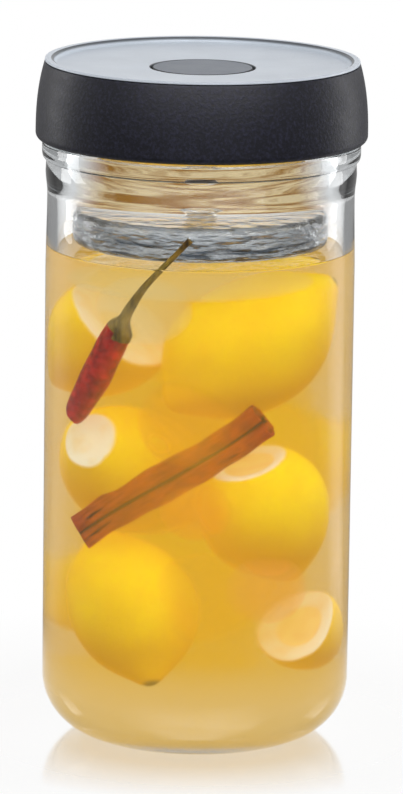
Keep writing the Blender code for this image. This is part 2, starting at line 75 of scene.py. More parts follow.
# Bevels of moulded corners, of which the least is also how near a radius a point counts as on it,
# and how far from a curve a flat stretch has its last point
HAIR = 0.05 * MM
NICK = 0.1 * MM
BEVEL = 0.3 * MM
GUARD = 1.0 * MM

# Glass jar, where the frame gives only its bead and its height
BEAD_PROUD = 1.5 * MM
BODY_WALL = 4.0 * MM
BODY_HEIGHT = 192.7 * MM
SHOULDER = 40.0 * MM
WAIST_INSET = 0.45 * MM
WAIST_FADE = 28.0 * MM
HEEL_RADIUS = 20.8 * MM
BASE_THICKNESS = 6.0 * MM
BEARING_RING = 11.0 * MM
BEARING_EDGE = 0.4 * MM
PUSH_UP = 1.2 * MM
PUSH_UP_SLOPE = 3.0 * MM
COLLAR_RISE = 8.0 * MM
COLLAR_PROUD = 0.2 * MM
BEAD_GROOVE = 0.25 * MM
BEAD_HEIGHT = 7.2 * MM
BEAD_SQUARE = 0.6
BEAD_LOW = BODY_HEIGHT + 12.5 * MM
BEAD_TOP = BEAD_LOW + BEAD_HEIGHT
NECK_INSET = 2.8 * MM
NECK_WALL = 3.8 * MM
RIM_ROUND = 1.2 * MM

# Screw thread of the neck and the lugs of the skirt: the angle at which a rib starts, its sweep, the
# height of its middle, its width and its depth
THREAD_STARTS = 4
THREAD_LEAD = 24.0 * MM
RIDGE = (0.0, math.radians(75), 218.5 * MM, 2.4 * MM, 1.6 * MM)
LUG = (math.radians(5), math.radians(35), 216.13 * MM, 2.2 * MM, 2.5 * MM)
TIP_SHARE = 0.6
RIDGE_FADE = math.radians(4)

# Lid skirt and top plate
SKIRT_WALL = 3.6 * MM
SKIRT_TAPER = 3.3 * MM
SKIRT_CURVE = 2.4
SKIRT_EDGE_ROUND = 2.2 * MM
SKIRT_BEVEL = 0.6 * MM
SKIRT_EDGE_WALL = 1.6 * MM
SKIRT_WEAR = 0.12
SKIRT_SPECK = 4.0
FLANGE_Z = 233.1 * MM
FLANGE_THICKNESS = 1.8 * MM
FLANGE_REACH = 8.2 * MM
LIP_THICKNESS = 0.8 * MM
RIM_WIDTH = 2.3 * MM
PLATE_ROUND = 0.35 * MM
DISH_WALL = 1.1 * MM
DISH_FALL = 0.9 * MM
DISH_ROUND = 1.6 * MM
DISH_FLOOR = 1.7 * MM
# Painted shade on the dish's inner wall, darkest at its top, and on the edge of the button's hole: its
# share, and how far under the plate's top it is full
DISH_PAINTED_SHADE = 0.8
DISH_PAINTED_SHADE_TOP = 0.6 * MM
BUTTON_GAP = 0.8 * MM

# Liner, valve and button
LINER_THICKNESS = 2.0 * MM
SPIGOT_WALL = 2.7 * MM
SPIGOT_RADIUS = 45.7 * MM
PLUG_RADIUS = 46.9 * MM
PLUG_WALL = 2.0 * MM
PLUG_LENGTH = 5.0 * MM
WELL_BORE = 19.3 * MM
WELL_WALL = 1.7 * MM
WELL_FLOOR = 1.5 * MM
LINER_TOP = 232.8 * MM
TUBE_HOLE = 5.9 * MM
TUBE_RADIUS = 5.6 * MM
TUBE_BORE = 3.4 * MM
TUBE_FLANGE = 1.3 * MM
VENT_COUNT = 6
VENT_RADIUS = 1.3 * MM
VENT_CIRCLE = 13.4 * MM
STEM_RADIUS = 2.2 * MM
HEAD_THICKNESS = 1.2 * MM
SEAL_BORE = 2.5 * MM
SEAL_SOFT = 0.22
GASKET_BORE = 47.2 * MM
MEMBRANE_BORE = 7.9 * MM
ORING_WIRE = 0.7 * MM
NUT_BEVEL = 0.25 * MM
NUT_CHAMFER = 0.35 * MM
NUT_CHAMFER_HEIGHT = 0.6 * MM
NUT_SIDE = 1.2 * MM
BUTTON_TOP = 2.2 * MM
BUTTON_CROWN = 0.12 * MM
BUTTON_ROUND = 0.5 * MM
BUTTON_WALL = 1.6 * MM
BUTTON_DROP = 2.5 * MM
# Painted shade on the button's outer edge and underside, in the gap round it: its share, and how far in
# from the rim it starts
BUTTON_PAINTED_SHADE = 0.97
BUTTON_PAINTED_SHADE_EDGE = 0.4 * MM
HUB_RADIUS = 4.2 * MM
HUB_BORE = 2.5 * MM
SOCKET_TOP = 233.2 * MM
SPRING_WIRE = 0.45 * MM
SPRING_TURNS = 4.5
SPRING_GROUND = 0.75
SPRING_FLAT = 0.28

# Glass weight, and the waves in its side: strength, count around, phase, and radians a metre up
WEIGHT_THICKNESS = 12.0 * MM
WEIGHT_TOP_ROUND = 3.0 * MM
WEIGHT_FOOT_ROUND = 2.5 * MM
WEIGHT_WAVES = ((1.0, 9, 1.3, 120), (0.8, 17, 4.0, -210), (0.6, 31, 0.4, 340), (0.5, 5, 0.0, 900))
WAVE_START = 0.86
KNOB_RADIUS = 7.35 * MM
KNOB_NECK = 5.4 * MM
KNOB_DOME = 1.8 * MM
KNOB_CONE = 2.9 * MM
KNOB_FILLET = 1.2 * MM
# A band low on the weight's side, streaked with painted dark reflections: where it starts and is full
# in from the rim, its height, the softness of its top, and its colour
FOLD_START = 1.5 * MM
FOLD_FULL = 0.8 * MM
FOLD_HEIGHT = 7.0 * MM
FOLD_FADE = 0.6 * MM
FOLD_PAINTED_DARK = (0.02, 0.03, 0.045)

# Glass: how much a metre of it soaks up, the size and depth of its waves, and their stretch
GLASS = {
    "clear_glass": (42.0, 42 * MM, 0.10 * MM, (1.0, 1.0, 0.35)),
    "weight_glass": (16.0, 7 * MM, 1.0 * MM, (1.0, 1.0, 3.5)),
}
GLASS_SMEAR = (0.965, 0.97, 0.975)
GLASS_SHEEN = (0.55, 0.55, 0.55)

# Moulded plastic: roughness, size and depth of the grain, and specular level
MOULDED = {
    "anthracite_plastic": (0.42, 1.1 * MM, 0.1 * MM, 0.23),
    "satin_grey_plastic": (0.36, 0.4 * MM, 0.012 * MM, 0.5),
    "white_plastic": (0.38, 0.5 * MM, 0.01 * MM, 0.5),
    "black_rubber": (0.55, 0.3 * MM, 0.01 * MM, 0.4),
    "dark_plastic": (0.42, 0.4 * MM, 0.01 * MM, 0.45),
    "nut_plastic": (0.5, 0.5 * MM, 0.015 * MM, 0.4),
    "button_grey": (0.5, 0.45 * MM, 0.03 * MM, 0.4),
    "plunger_plastic": (0.38, 0.4 * MM, 0.01 * MM, 0.5),
}

# Camera and studio, measured from the jar's axis and the floor
CAMERA_PLACE = (0.0, -2.013, 0.542)
CAMERA_PITCH = math.radians(11.84)
CAMERA_YAW = math.radians(0.032)
CAMERA_ROLL = math.radians(0.77)
SENSOR = 36.0
LENS = 265.74
LAMP_TARGET = (0.0, 0.0, 0.12)
LAMPS = (
    ("key_lamp", (0.8, -1.1, 1.3), (1.1, 0.9), "key"),
    ("left_strip", (-1.0, 0.5, 0.3), (0.3, 0.9), "strips"),
    ("right_strip", (1.0, 0.5, 0.3), (0.4, 0.9), "strips"),
)

# The floor: radii of its rings, and the distances from the axis over which glass starts to see it
# dimmed, the jar's shadow on it fades out, and its polish does
FLOOR_RINGS = (0.0, 0.1, 0.4, 1.5, 9.0)
FLOOR_LIT = (90 * MM, 220 * MM)
FLOOR_PLAIN = (50 * MM, 180 * MM)
FLOOR_MIRROR = (50 * MM, 95 * MM)

# Pools of light on the floor, which draw the pale bands on the sides of the glass: the direction
# and the strength of each, the cosine at which they end, and the distances over which they start
POOLS = (((-0.85, 0.53, 0.0), 0.3), ((0.85, 0.53, 0.0), 0.9))
POOL_EDGE = 0.97
POOL_START = (0.15, 0.3)

# The softbox in front of the jar that only a gloss mirrors, such as the skirt's: between which
# sines of the azimuth and of the height it gains its strength
CANOPY_SIDES = (-0.35, -0.85)
CANOPY_EDGE = (0.12, 0.42)
CANOPY_GAIN = 4.2

# How bright a gloss or the edge of glass sees the background
DIMMED = 0.34


def round_box(node):
    """Outer radius, lowest and highest height of a CAD node that is round about the Z axis."""
    low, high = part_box(node)
    return max(high.x, high.y), low.z, high.z


def joined(*parts):
    """One outline of parts in order. A part is an array or list of points, or a single point."""
    return np.concatenate([np.atleast_2d(part) for part in parts])


def lengths(rows):
    """The length of each row."""
    return np.linalg.norm(rows, axis=1, keepdims=True)


def whole_turn(count):
    """Even angles around the axis."""
    return np.linspace(0.0, TURN, count, endpoint=False)


def points(radius, height):
    """Points of an outline, from radii and heights, of which one may stay the same."""
    return np.stack(np.broadcast_arrays(radius, height), axis=1)


def arc(centre, radii, start, end, steps=10, power=1.0):
    """Part of an ellipse in (radius, height): the centre plus the two radii times the cosine and
    the sine of an angle that runs in even steps, in degrees from the +radius side. A single radius
    gives a circle. A power under 1 on the cosine and sine, with their signs kept, squares it."""
    angle = np.radians(np.linspace(start, end, steps + 1))
    circle = points(np.cos(angle), np.sin(angle))
    return np.asarray(centre) + np.asarray(radii) * np.sign(circle) * np.abs(circle) ** power


def eased(start, end, steps):
    """A curve from one (radius, height) to another. The height runs evenly, and the radius by
    3s^2 - 2s^3 of the share s, so that it leaves and arrives straight up."""
    share = np.linspace(0.0, 1.0, steps + 1)
    radius = start[0] + (end[0] - start[0]) * share**2 * (3 - 2 * share)
    return points(radius, start[1] + (end[1] - start[1]) * share)


def softened(corners, soft, steps=5):
    """A closed outline with soft corners, from (radius, height, share) rows. A corner P reaches f,
    its share of the softness. It becomes the parabola (1-t)^2 A + 2(1-t)t P + t^2 B, whose ends A
    and B lie f from P on the two sides."""
    corners = np.array(corners)
    middle = corners[:, :2]
    reach = corners[:, 2:] * soft
    back = np.roll(middle, 1, axis=0) - middle
    ahead = np.roll(middle, -1, axis=0) - middle
    start = middle + back / lengths(back) * reach
    end = middle + ahead / lengths(ahead) * reach
    share = np.linspace(0.0, 1.0, steps + 1)[:, None, None]
    curves = (1 - share) ** 2 * start + 2 * (1 - share) * share * middle + share**2 * end
    outline = curves.transpose(1, 0, 2).reshape(-1, 2)
    moved = lengths(outline - np.roll(outline, 1, axis=0))[:, 0] > WELD
    return outline[moved]


def ring_outline(bore, radius, low, high, soft):
    """The closed outline of a ring with four soft corners."""
    return softened([(bore, high, 1), (radius, high, 1), (radius, low, 1), (bore, low, 1)], soft)


def supported(outline, hold=0.25 * MM):
    """A closed outline with one more point just inside both ends of each long stretch, so that
    smooth shading keeps the stretch flat. The points lie at the hold distance from its ends."""
    ends = np.roll(outline, -1, axis=0)
    length = lengths(ends - outline)
    inset = np.where(length > 4 * hold, hold / np.maximum(length, WELD), 0.0)
    after = outline + (ends - outline) * inset
    before = ends + (outline - ends) * inset
    rows = np.stack([outline, after, before], axis=1)
    return rows[np.concatenate([np.ones_like(inset), inset, inset], axis=1) > 0]


def surface(name, grid, closed, marks=None, ring=True):
    """A mesh on a grid of points, with a face between each two neighbouring rows and columns. The
    columns join up unless ring is off, and the rows do if closed is set. Rows that lie in one
    point are welded to a pole. marks gives a number for each point, kept as a named attribute."""
    rows, columns = grid.shape[:2]
    row = np.arange(rows if closed else rows - 1)[:, None]
    column = np.arange(columns if ring else columns - 1)[None, :]
    below = (row + 1) % rows * columns
    beside = (column + 1) % columns
    row = row * columns
    corners = (row + column, below + column, below + beside, row + beside)
    faces = np.stack(np.broadcast_arrays(*corners), axis=-1).reshape(-1, 4)
    mesh = bpy.data.meshes.new(name)
    mesh.from_pydata(grid.reshape(-1, 3).tolist(), [], faces.tolist())
    for mark, values in (marks or {}).items():
        attribute = mesh.attributes.new(mark, "FLOAT", "POINT")
        attribute.data.foreach_set("value", values.reshape(-1).astype(np.float32))
    shell = bmesh.new()
    shell.from_mesh(mesh)
    bmesh.ops.remove_doubles(shell, verts=shell.verts, dist=WELD)
    shell.to_mesh(mesh)
    shell.free()
    mesh.shade_smooth()
    mesh.set_sharp_from_angle(angle=math.radians(50))
    return put_in_scene(name, mesh)


def put_in_scene(name, data):
    """A new object in the scene for a mesh, a lamp or a camera."""
    made = bpy.data.objects.new(name, data)
    bpy.context.scene.collection.objects.link(made)
    return made


def around_axis(radius, angle, height):
    """The points (r cos a, r sin a, z) for radii r, angles a and heights z."""
    parts = (radius * np.cos(angle), radius * np.sin(angle), height)
    return np.stack(np.broadcast_arrays(*parts), axis=-1)


def turned(name, outline, around, relief=None, marks=None, pose=None, closed=True):
    """Turn an outline about the Z axis. A point's radius is the outline's plus what relief gives
    for its angle, radius and height. An outline that starts off the axis closes up, unless closed
    is off. A pose, as a turn and a shift, then puts the surface in its place."""
    angle = whole_turn(around)[None, :]
    radius = np.repeat(outline[:, :1], around, axis=1)
    height = np.repeat(outline[:, 1:2], around, axis=1)
    if relief:
        radius = radius + relief(angle, radius, height)
    grid = around_axis(radius, angle, height)
    if pose:
        grid = grid @ pose[0].T + pose[1]
    marks = {mark: np.repeat(row[:, None], around, axis=1) for mark, row in (marks or {}).items()}
    return surface(name, grid, closed and outline[0, 0] > 1e-6, marks)


def carried(name, path, across, section):
    """Carry a closed section along a path. Each section point (u, v) at path point P lies at
    P + u s + v (t x s), where t is the path's direction and s the across direction squared to it.
    The first and last sections shrink to a point, which closes the ends."""
    ahead = np.gradient(path, axis=0)
    ahead /= lengths(ahead)
    side = across - ahead * np.sum(ahead * across, axis=1, keepdims=True)
    side /= lengths(side)
    over = np.cross(ahead, side)
    grid = path[:, None] + section[..., :1] * side[:, None] + section[..., 1:] * over[:, None]
    first, last = (grid[[end]].mean(axis=1, keepdims=True) + 0 * grid[[end]] for end in (0, -1))
    return surface(name, np.concatenate([last, grid[::-1], first]), False)


def helical_relief(angle, height, start, sweep, middle, width, depth):
    """Height of ribs of a trapezoid section on a right-hand helix, one for each thread start. The
    rib's middle climbs by the lead for each turn. The flank rises from the root's edge to the
    tip's edge, and the rib fades out at both ends of its sweep."""
    since = np.mod(angle - start, TURN / THREAD_STARTS)
    off = np.abs(height - middle - THREAD_LEAD * since / TURN)
    flank = np.clip((width / 2 - off) / (width * (1 - TIP_SHARE) / 2), 0.0, 1.0)
    run = np.clip(np.minimum(since, sweep - since) / RIDGE_FADE, 0.0, 1.0)
    return depth * flank * run * run * (3 - 2 * run)


def ripples(rows, angle, height, phase=1.0):
    """A sum of sines of the angle and the height, from rows of strength, count around, share of
    the phase, and radians a metre up."""
    total = 0.0
    for gain, count, lag, rise in rows:
        total = total + gain * np.sin(count * angle + lag * phase + rise * height)
    return total


# Shader building. Where a helper gets a socket, it adds its node to that socket's tree.


def feed(socket, value):
    """Link a socket to another, or set its value. A colour of three parts gets its fourth here."""
    if isinstance(value, bpy.types.NodeSocket):
        socket.id_data.links.new(value, socket)
    elif socket.type == "RGBA":
        socket.default_value = (*value, 1.0)
    else:
        socket.default_value = value


def add_node(tree, kind, inputs=None, **settings):
    """Add a shader node, make its settings, and give each named input a value or a link."""
    made = tree.nodes.new(kind)
    for name, value in settings.items():
        setattr(made, name, value)
    for name, value in (inputs or {}).items():
        feed(made.inputs[name], value)
    return made


def object_place(tree, scale=(1.0, 1.0, 1.0), centre=(0.0, 0.0, 0.0)):
    """Object coordinates, in metres from a centre, stretched by a scale along each axis."""
    coordinates = add_node(tree, "ShaderNodeTexCoord").outputs["Object"]
    shift = tuple(-c * s for c, s in zip(centre, scale))
    inputs = {"Vector": coordinates, "Location": shift, "Scale": scale}
    return add_node(tree, "ShaderNodeMapping", inputs).outputs["Vector"]


def part_of(vector, axis="Z"):
    """One part of a vector."""
    return add_node(vector.id_data, "ShaderNodeSeparateXYZ", {"Vector": vector}).outputs[axis]


def length_of(vector):
    """The length of a vector."""
    made = add_node(vector.id_data, "ShaderNodeVectorMath", {0: vector}, operation="LENGTH")
    return made.outputs["Value"]


def ray(tree, fact):
    """What is known of the ray of light, such as whether the camera sent it."""
    return add_node(tree, "ShaderNodeLightPath").outputs[fact]


def mark_value(tree, name):
    """A number kept on the surface's points."""
    return add_node(tree, "ShaderNodeAttribute", attribute_name=name).outputs["Fac"]


def noise(place, size, detail=3.0, roughness=0.5):
    """Smooth noise from 0 to 1 whose blobs are about the given size across."""
    inputs = {"Vector": place, "Scale": 1 / size, "Detail": detail, "Roughness": roughness}
    return add_node(place.id_data, "ShaderNodeTexNoise", inputs).outputs["Fac"]


def spread(value, low, high, to_low=0.0, to_high=1.0):
    """Stretch a value from one range to another, and hold it at the ends."""
    inputs = {"Value": value, "From Min": low, "From Max": high, "To Min": to_low, "To Max": to_high}
    return add_node(value.id_data, "ShaderNodeMapRange", inputs).outputs["Result"]


def worked(operation, first, *others):
    """Values joined one after the other by an operation, or a single value put through it."""
    for other in others or (0.0,):
        inputs = {0: first, 1: other}
        first = add_node(first.id_data, "ShaderNodeMath", inputs, operation=operation).outputs[0]
    return first


def mixed(share, first, second, kind="Color"):
    """A colour, or a value of kind Float, between two by a share."""
    data_type = "RGBA" if kind == "Color" else "FLOAT"
    made = add_node(share.id_data, "ShaderNodeMix", data_type=data_type)
    sockets = {socket.identifier: socket for socket in made.inputs}
    for name, value in (("Factor_Float", share), (f"A_{kind}", first), (f"B_{kind}", second)):
        feed(sockets[name], value)
    return next(socket for socket in made.outputs if socket.identifier == f"Result_{kind}")


def mixed_shader(share, first, second):
    """A shader between two, by a share."""
    return shader(share.id_data, "ShaderNodeMixShader", {0: share, 1: first, 2: second})


def shader(tree, kind, inputs=None):
    """A shader node's output."""
    return add_node(tree, kind, inputs).outputs[0]


def toned(colour, gain):
    """A colour made lighter or darker by a gain, or by a gain for each of its parts."""
    return tuple(np.minimum(1.0, np.array(colour) * gain))


def bumped(height, depth, strength=1.0, under=None):
    """Surface normals that follow a height from 0 to 1 over a depth in metres."""
    inputs = {"Height": height, "Distance": depth, "Strength": strength}
    if under:
        inputs["Normal"] = under
    return add_node(height.id_data, "ShaderNodeBump", inputs).outputs["Normal"]


def new_material(name):
    """An empty node material and its tree."""
    material = bpy.data.materials.new(name)
    material.use_nodes = True
    material.node_tree.nodes.clear()
    return material, material.node_tree


def finished(material, surface_shader=None, volume=None):
    """Link a material's shaders to its output, and give the material back."""
    output = add_node(material.node_tree, "ShaderNodeOutputMaterial")
    for name, made in (("Surface", surface_shader), ("Volume", volume)):
        if made:
            material.node_tree.links.new(made, output.inputs[name])
    return material


def principled(material, inputs, volume=None):
    """Give a material its surface, and a volume if there is one, and give the material back."""
    return finished(material, shader(material.node_tree, "ShaderNodeBsdfPrincipled", inputs), volume)


def glass_finish(name, tint, press=None):
    """Clear glass: a faint waviness from the mould, a little smear in its polish, and the tint that a
    long way through it gives. A press of (radius, height) marks pressed glass, whose side is streaked
    with painted dark reflections below that height, which stand in for the dark surroundings that its
    waving side bends into view."""
    density, wave_size, wave_depth, stretch = GLASS[name]
    material, tree = new_material(name)
    wave = noise(object_place(tree, stretch), wave_size, 2.0, 0.4)
    fine = noise(object_place(tree), wave_size / 6, 2.0)
    smear = noise(object_place(tree, centre=(0.2, 0.1, 0.0)), 30 * MM, 4.0, 0.6)
    shade = mixed(smear, WHITE, GLASS_SMEAR)
    # Painted reflection: the side darkens in streaks below the band's height.
    if press:
        radius, height = press
        flat = length_of(object_place(tree, (1.0, 1.0, 0.0)))
        side = spread(flat, radius - FOLD_START, radius - FOLD_FULL)
        up = part_of(object_place(tree))
        low = spread(up, height - FOLD_FADE, height + FOLD_FADE, 1.0, 0.0)
        streak = noise(object_place(tree, (1.0, 1.0, 9.0)), 16 * MM, 4.0, 0.6)
        painted_streaks = spread(streak, 0.4, 0.55, 1.0, 0.1)
        shade = mixed(worked("MULTIPLY", side, low, painted_streaks), shade, FOLD_PAINTED_DARK)
    soak = shader(tree, "ShaderNodeVolumeAbsorption", {"Color": tint, "Density": density})
    inputs = {
        "Base Color": shade,
        "Roughness": spread(smear, 0.45, 0.75, 0.0, 0.035),
        "IOR": 1.5,
        "Transmission Weight": 1.0,
        "Specular Tint": GLASS_SHEEN,
        "Normal": bumped(fine, wave_depth / 12, under=bumped(wave, wave_depth)),
    }
    return principled(material, inputs, soak)


def moulded_finish(name, colour, wear=0.0, speck=0.12, painted_shade=None):
    """Moulded plastic: flow shades tens of millimetres wide, a fine grain in its surface, dusty specks,
    and a slight polish where hands rub it. speck is how much lighter the specks are. Where its share of
    painted shade is set, the piece is darkened by that share where its mark named shade is 1: painted
    shade."""
    roughness, grain, depth, specular = MOULDED[name]
    material, tree = new_material(name)
    place = object_place(tree)
    flow = noise(place, 26 * MM, 3.0, 0.55)
    pits = noise(place, grain, 3.0, 0.6)
    rubbed = noise(object_place(tree, (1.0, 1.0, 2.5)), 14 * MM, 5.0, 0.65)
    shade = mixed(spread(flow, 0.3, 0.7), toned(colour, 0.93), toned(colour, 1.07))
    shade = mixed(spread(pits, 0.45, 0.8), shade, toned(colour, 1.0 + speck))
    shade = mixed(spread(rubbed, 0.62, 0.8, 0.0, wear), shade, toned(colour, 1.8))
    # Painted shade: darker by the given share where the mark named shade is 1.
    if painted_shade:
        shade = mixed(mark_value(tree, "shade"), shade, toned(colour, 1.0 - painted_shade))
    inputs = {
        "Base Color": shade,
        "Roughness": spread(rubbed, 0.3, 0.75, roughness + 0.05, roughness - 0.06),
        "Specular IOR Level": specular,
        "Normal": bumped(pits, depth),
    }
    return principled(material, inputs)


def silicone_finish(name, colour, cloudiness):
    """Soft moulded silicone: lets some light in, with a cloudy body and a dull skin."""
    material, tree = new_material(name)
    place = object_place(tree)
    skin = noise(place, 0.4 * MM, 2.0)
    inputs = {
        "Base Color": mixed(noise(place, 6 * MM), toned(colour, 0.9), toned(colour, 1.1)),
        "Roughness": spread(skin, 0.3, 0.7, 0.42, 0.55),
        "Subsurface Weight": cloudiness,
        "Subsurface Radius": (0.9, 0.8, 0.7),
        "Subsurface Scale": 1.2 * MM,
        "Specular IOR Level": 0.4,
        "Normal": bumped(skin, 0.01 * MM),
    }
    return principled(material, inputs)


def steel_finish(name, colour):
    """Drawn steel wire: fine lines along the coil and slight changes of tone."""
    material, tree = new_material(name)
    lines = noise(object_place(tree, (1.0, 1.0, 9.0)), 0.9 * MM)
    tone = noise(object_place(tree), 3 * MM, 2.0)
    inputs = {
        "Base Color": mixed(tone, toned(colour, 0.85), toned(colour, 1.1)),
        "Metallic": 1.0,
        "Roughness": spread(lines, 0.3, 0.7, 0.2, 0.38),
        "Normal": bumped(lines, 0.01 * MM),
    }
    return principled(material, inputs)


def dress(piece, body, nodes, slot, finish, *look, **more):
    """Give a finished piece its body and its slot's material, which finish makes from the look,
    and let it stand for its CAD nodes."""
    piece.data.materials.append(finish(slot, *look, **more))
    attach(piece, body)
    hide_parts(*nodes)


# Settings that a user would change


def colour_setting(name, description, default):
    """A colour that a user can change."""
    return FloatVectorProperty(
        name=name, description=description, default=default, subtype="COLOR", min=0.0, max=1.0
    )


class JarSizes(bpy.types.PropertyGroup):
    """Sizes of the surfaces that the frame leaves open."""

    around: IntProperty(
        name="Sides", description="Faces around a large round piece", default=192, min=48, max=384
    )
    around_small: IntProperty(
        name="Valve sides", description="Faces around a small round piece", default=96, min=24, max=192
    )
    edge: FloatProperty(
        name="Edge", description="Reach of the softening of a moulded edge", default=0.3 * MM,
        min=0.05 * MM, max=0.5 * MM, unit="LENGTH", precision=5,
    )
    wave: FloatProperty(
        name="Glass wave", description="Depth of the waves in the side of the pressed weight",
        default=0.09 * MM, min=0.0, max=0.2 * MM, unit="LENGTH", precision=5,
    )


class JarColours(bpy.types.PropertyGroup):
    """Colours of the finishes, as they render under the studio's light."""

    glass: colour_setting("Glass", "Tint of a long way through the jar's glass", (0.62, 0.66, 0.68))
    weight: colour_setting("Weight glass", "Tint of a long way through the weight", (0.66, 0.70, 0.73))
    skirt: colour_setting("Skirt", "Anthracite of the screw cap's wall", (0.0046, 0.0047, 0.0092))
    plate: colour_setting("Top plate", "Satin grey of the dished plate", (0.66, 0.72, 0.80))
    button: colour_setting("Button", "Grey of the vent button", (0.205, 0.225, 0.262))
    liner: colour_setting("Liner", "White of the disc inside the lid", (0.80, 0.81, 0.80))
    valve: colour_setting("Valve", "Near black of the tube, nut and plunger", (0.035, 0.031, 0.029))
    silicone: colour_setting("Silicone", "Milky tone of the gasket and membrane", (0.62, 0.64, 0.64))
    seal: colour_setting("Valve seal", "Brown of the washer on the plunger", (0.30, 0.20, 0.11))
    rubber: colour_setting("Ring seal", "Black of the ring under the tube's flange", (0.02, 0.02, 0.02))
    steel: colour_setting("Spring", "Steel of the button's spring", (0.62, 0.62, 0.63))


class StudioSettings(bpy.types.PropertyGroup):
    """Light, floor and the filling that the jar is shown with."""

    daylight: FloatProperty(
        name="Daylight", description="Strength of the even light from all round", default=0.55,
        min=0.0, max=2.0, subtype="FACTOR",
    )
    key: FloatProperty(
        name="Key lamp", description="Power of the large lamp over the right shoulder", default=7.0,
        min=0.0, unit="POWER",
    )
    strips: FloatProperty(
        name="Strip lamps", description="Power of each tall lamp beside the jar", default=3.0,
        min=0.0, unit="POWER",
    )
    floor: colour_setting("Floor", "Colour of the floor", (0.86, 0.86, 0.86))
    filled: BoolProperty(
        name="Filled", description="Show the jar filled and not empty", default=True
    )
    brine: colour_setting("Brine", "Colour that the cloudy brine fades to", (0.90, 0.49, 0.005))
    cloudiness: FloatProperty(
        name="Cloudiness", description="How fast the brine hides things, for each metre", default=23.0,
        min=0.0, max=400.0,
    )
    peel: colour_setting("Peel", "Yellow of the fruit's peel", (1.0, 0.74, 0.001))


# The jar's own pieces


def jar_radii():
    """Radii of the jar's body, of its bore, of its neck and of the neck's bore."""
    body = round_box("glass_jar")[0] - BEAD_PROUD
    neck = body - NECK_INSET
    return body, body - BODY_WALL, neck, neck - NECK_WALL


def jar_outline():
    """The jar's outline: up the inside from the middle of the floor, over the rim, down the outside
    and back under the base. Its heels and bead are ellipses, and its waist is an eased curve."""
    bead_radius, _, rim_z = round_box("glass_jar")
    body, bore, neck, neck_bore = jar_radii()
    heel = HEEL_RADIUS - BODY_WALL
    collar = body + COLLAR_PROUD
    groove = collar - BEAD_GROOVE
    waist = body - WAIST_INSET
    bead_half = BEAD_HEIGHT / 2
    bead_mid = BEAD_LOW + bead_half
    rim_low = rim_z - RIM_ROUND
    heel_corner = body - HEEL_RADIUS
    ring_inside = heel_corner - BEARING_RING
    hollow = ring_inside - PUSH_UP_SLOPE
    return joined(
        [(0.0, BASE_THICKNESS), (bore - heel - GUARD, BASE_THICKNESS)],
        arc((bore - heel, BASE_THICKNESS + heel), heel, -90, 0, 24),
        (bore, BODY_HEIGHT - SHOULDER),
        eased((bore, BODY_HEIGHT), (neck_bore, BEAD_LOW), 18),
        (neck_bore, rim_low - GUARD),
        arc((neck_bore + RIM_ROUND, rim_low), RIM_ROUND, 180, 90, 7),
        arc((neck - RIM_ROUND, rim_low), RIM_ROUND, 90, 0, 7),
        points(neck, np.linspace(rim_low, BEAD_TOP, 54)[1:-1]),
        arc((neck, bead_mid), (bead_radius - neck, bead_half), 88, 0, 20, BEAD_SQUARE),
        arc((groove, bead_mid), (bead_radius - groove, bead_half), 0, -90, 20, BEAD_SQUARE)[1:],
        eased((collar, BODY_HEIGHT + COLLAR_RISE), (waist, BODY_HEIGHT), 10),
        eased((waist, BODY_HEIGHT), (body, BODY_HEIGHT - WAIST_FADE), 14)[1:],
        (body, HEEL_RADIUS + GUARD),
        arc((heel_corner, HEEL_RADIUS), HEEL_RADIUS, 0, -90, 30),
        (ring_inside + BEARING_EDGE, 0.0),
        eased((ring_inside, 0.0), (hollow, PUSH_UP), 6),
        [(hollow - GUARD, PUSH_UP), (0.0, PUSH_UP)],
    )


def neck_relief(angle, radius, height):
    """The ridges of the screw thread, only on the outside of the neck."""
    rim_low = round_box("glass_jar")[2] - RIM_ROUND
    outside = (radius > jar_radii()[2] - HAIR) & (height > BEAD_TOP) & (height < rim_low)
    return np.where(outside, helical_relief(angle, height, *RIDGE), 0.0)


class JAR_OT_glass_jar(bpy.types.Operator):
    """Make the glass jar with its bead, collar and screw thread"""

    bl_idname = "jar.glass_jar"
    bl_label = "Glass jar"

    def execute(self, context):
        colours = context.scene.jar_colours
        piece = turned("jar_glass", jar_outline(), context.scene.jar_sizes.around, neck_relief)
        dress(piece, "jar", ["glass_jar"], "clear_glass", glass_finish, colours.glass)
        piece.visible_shadow = False
        return {"FINISHED"}


def weight_relief(depth):
    """Waves in the side of the pressed weight: sines of the angle and the height of unlike length,
    strongest on the side and gone towards the middle of the disc."""
    reach = round_box("glass_weight")[0]
    total = sum(row[0] for row in WEIGHT_WAVES)

    def relief(angle, radius, height):
        share = np.clip((radius / reach - WAVE_START) / (1 - WAVE_START), 0.0, 1.0)
        return depth * ripples(WEIGHT_WAVES, angle, height) / total * share

    return relief


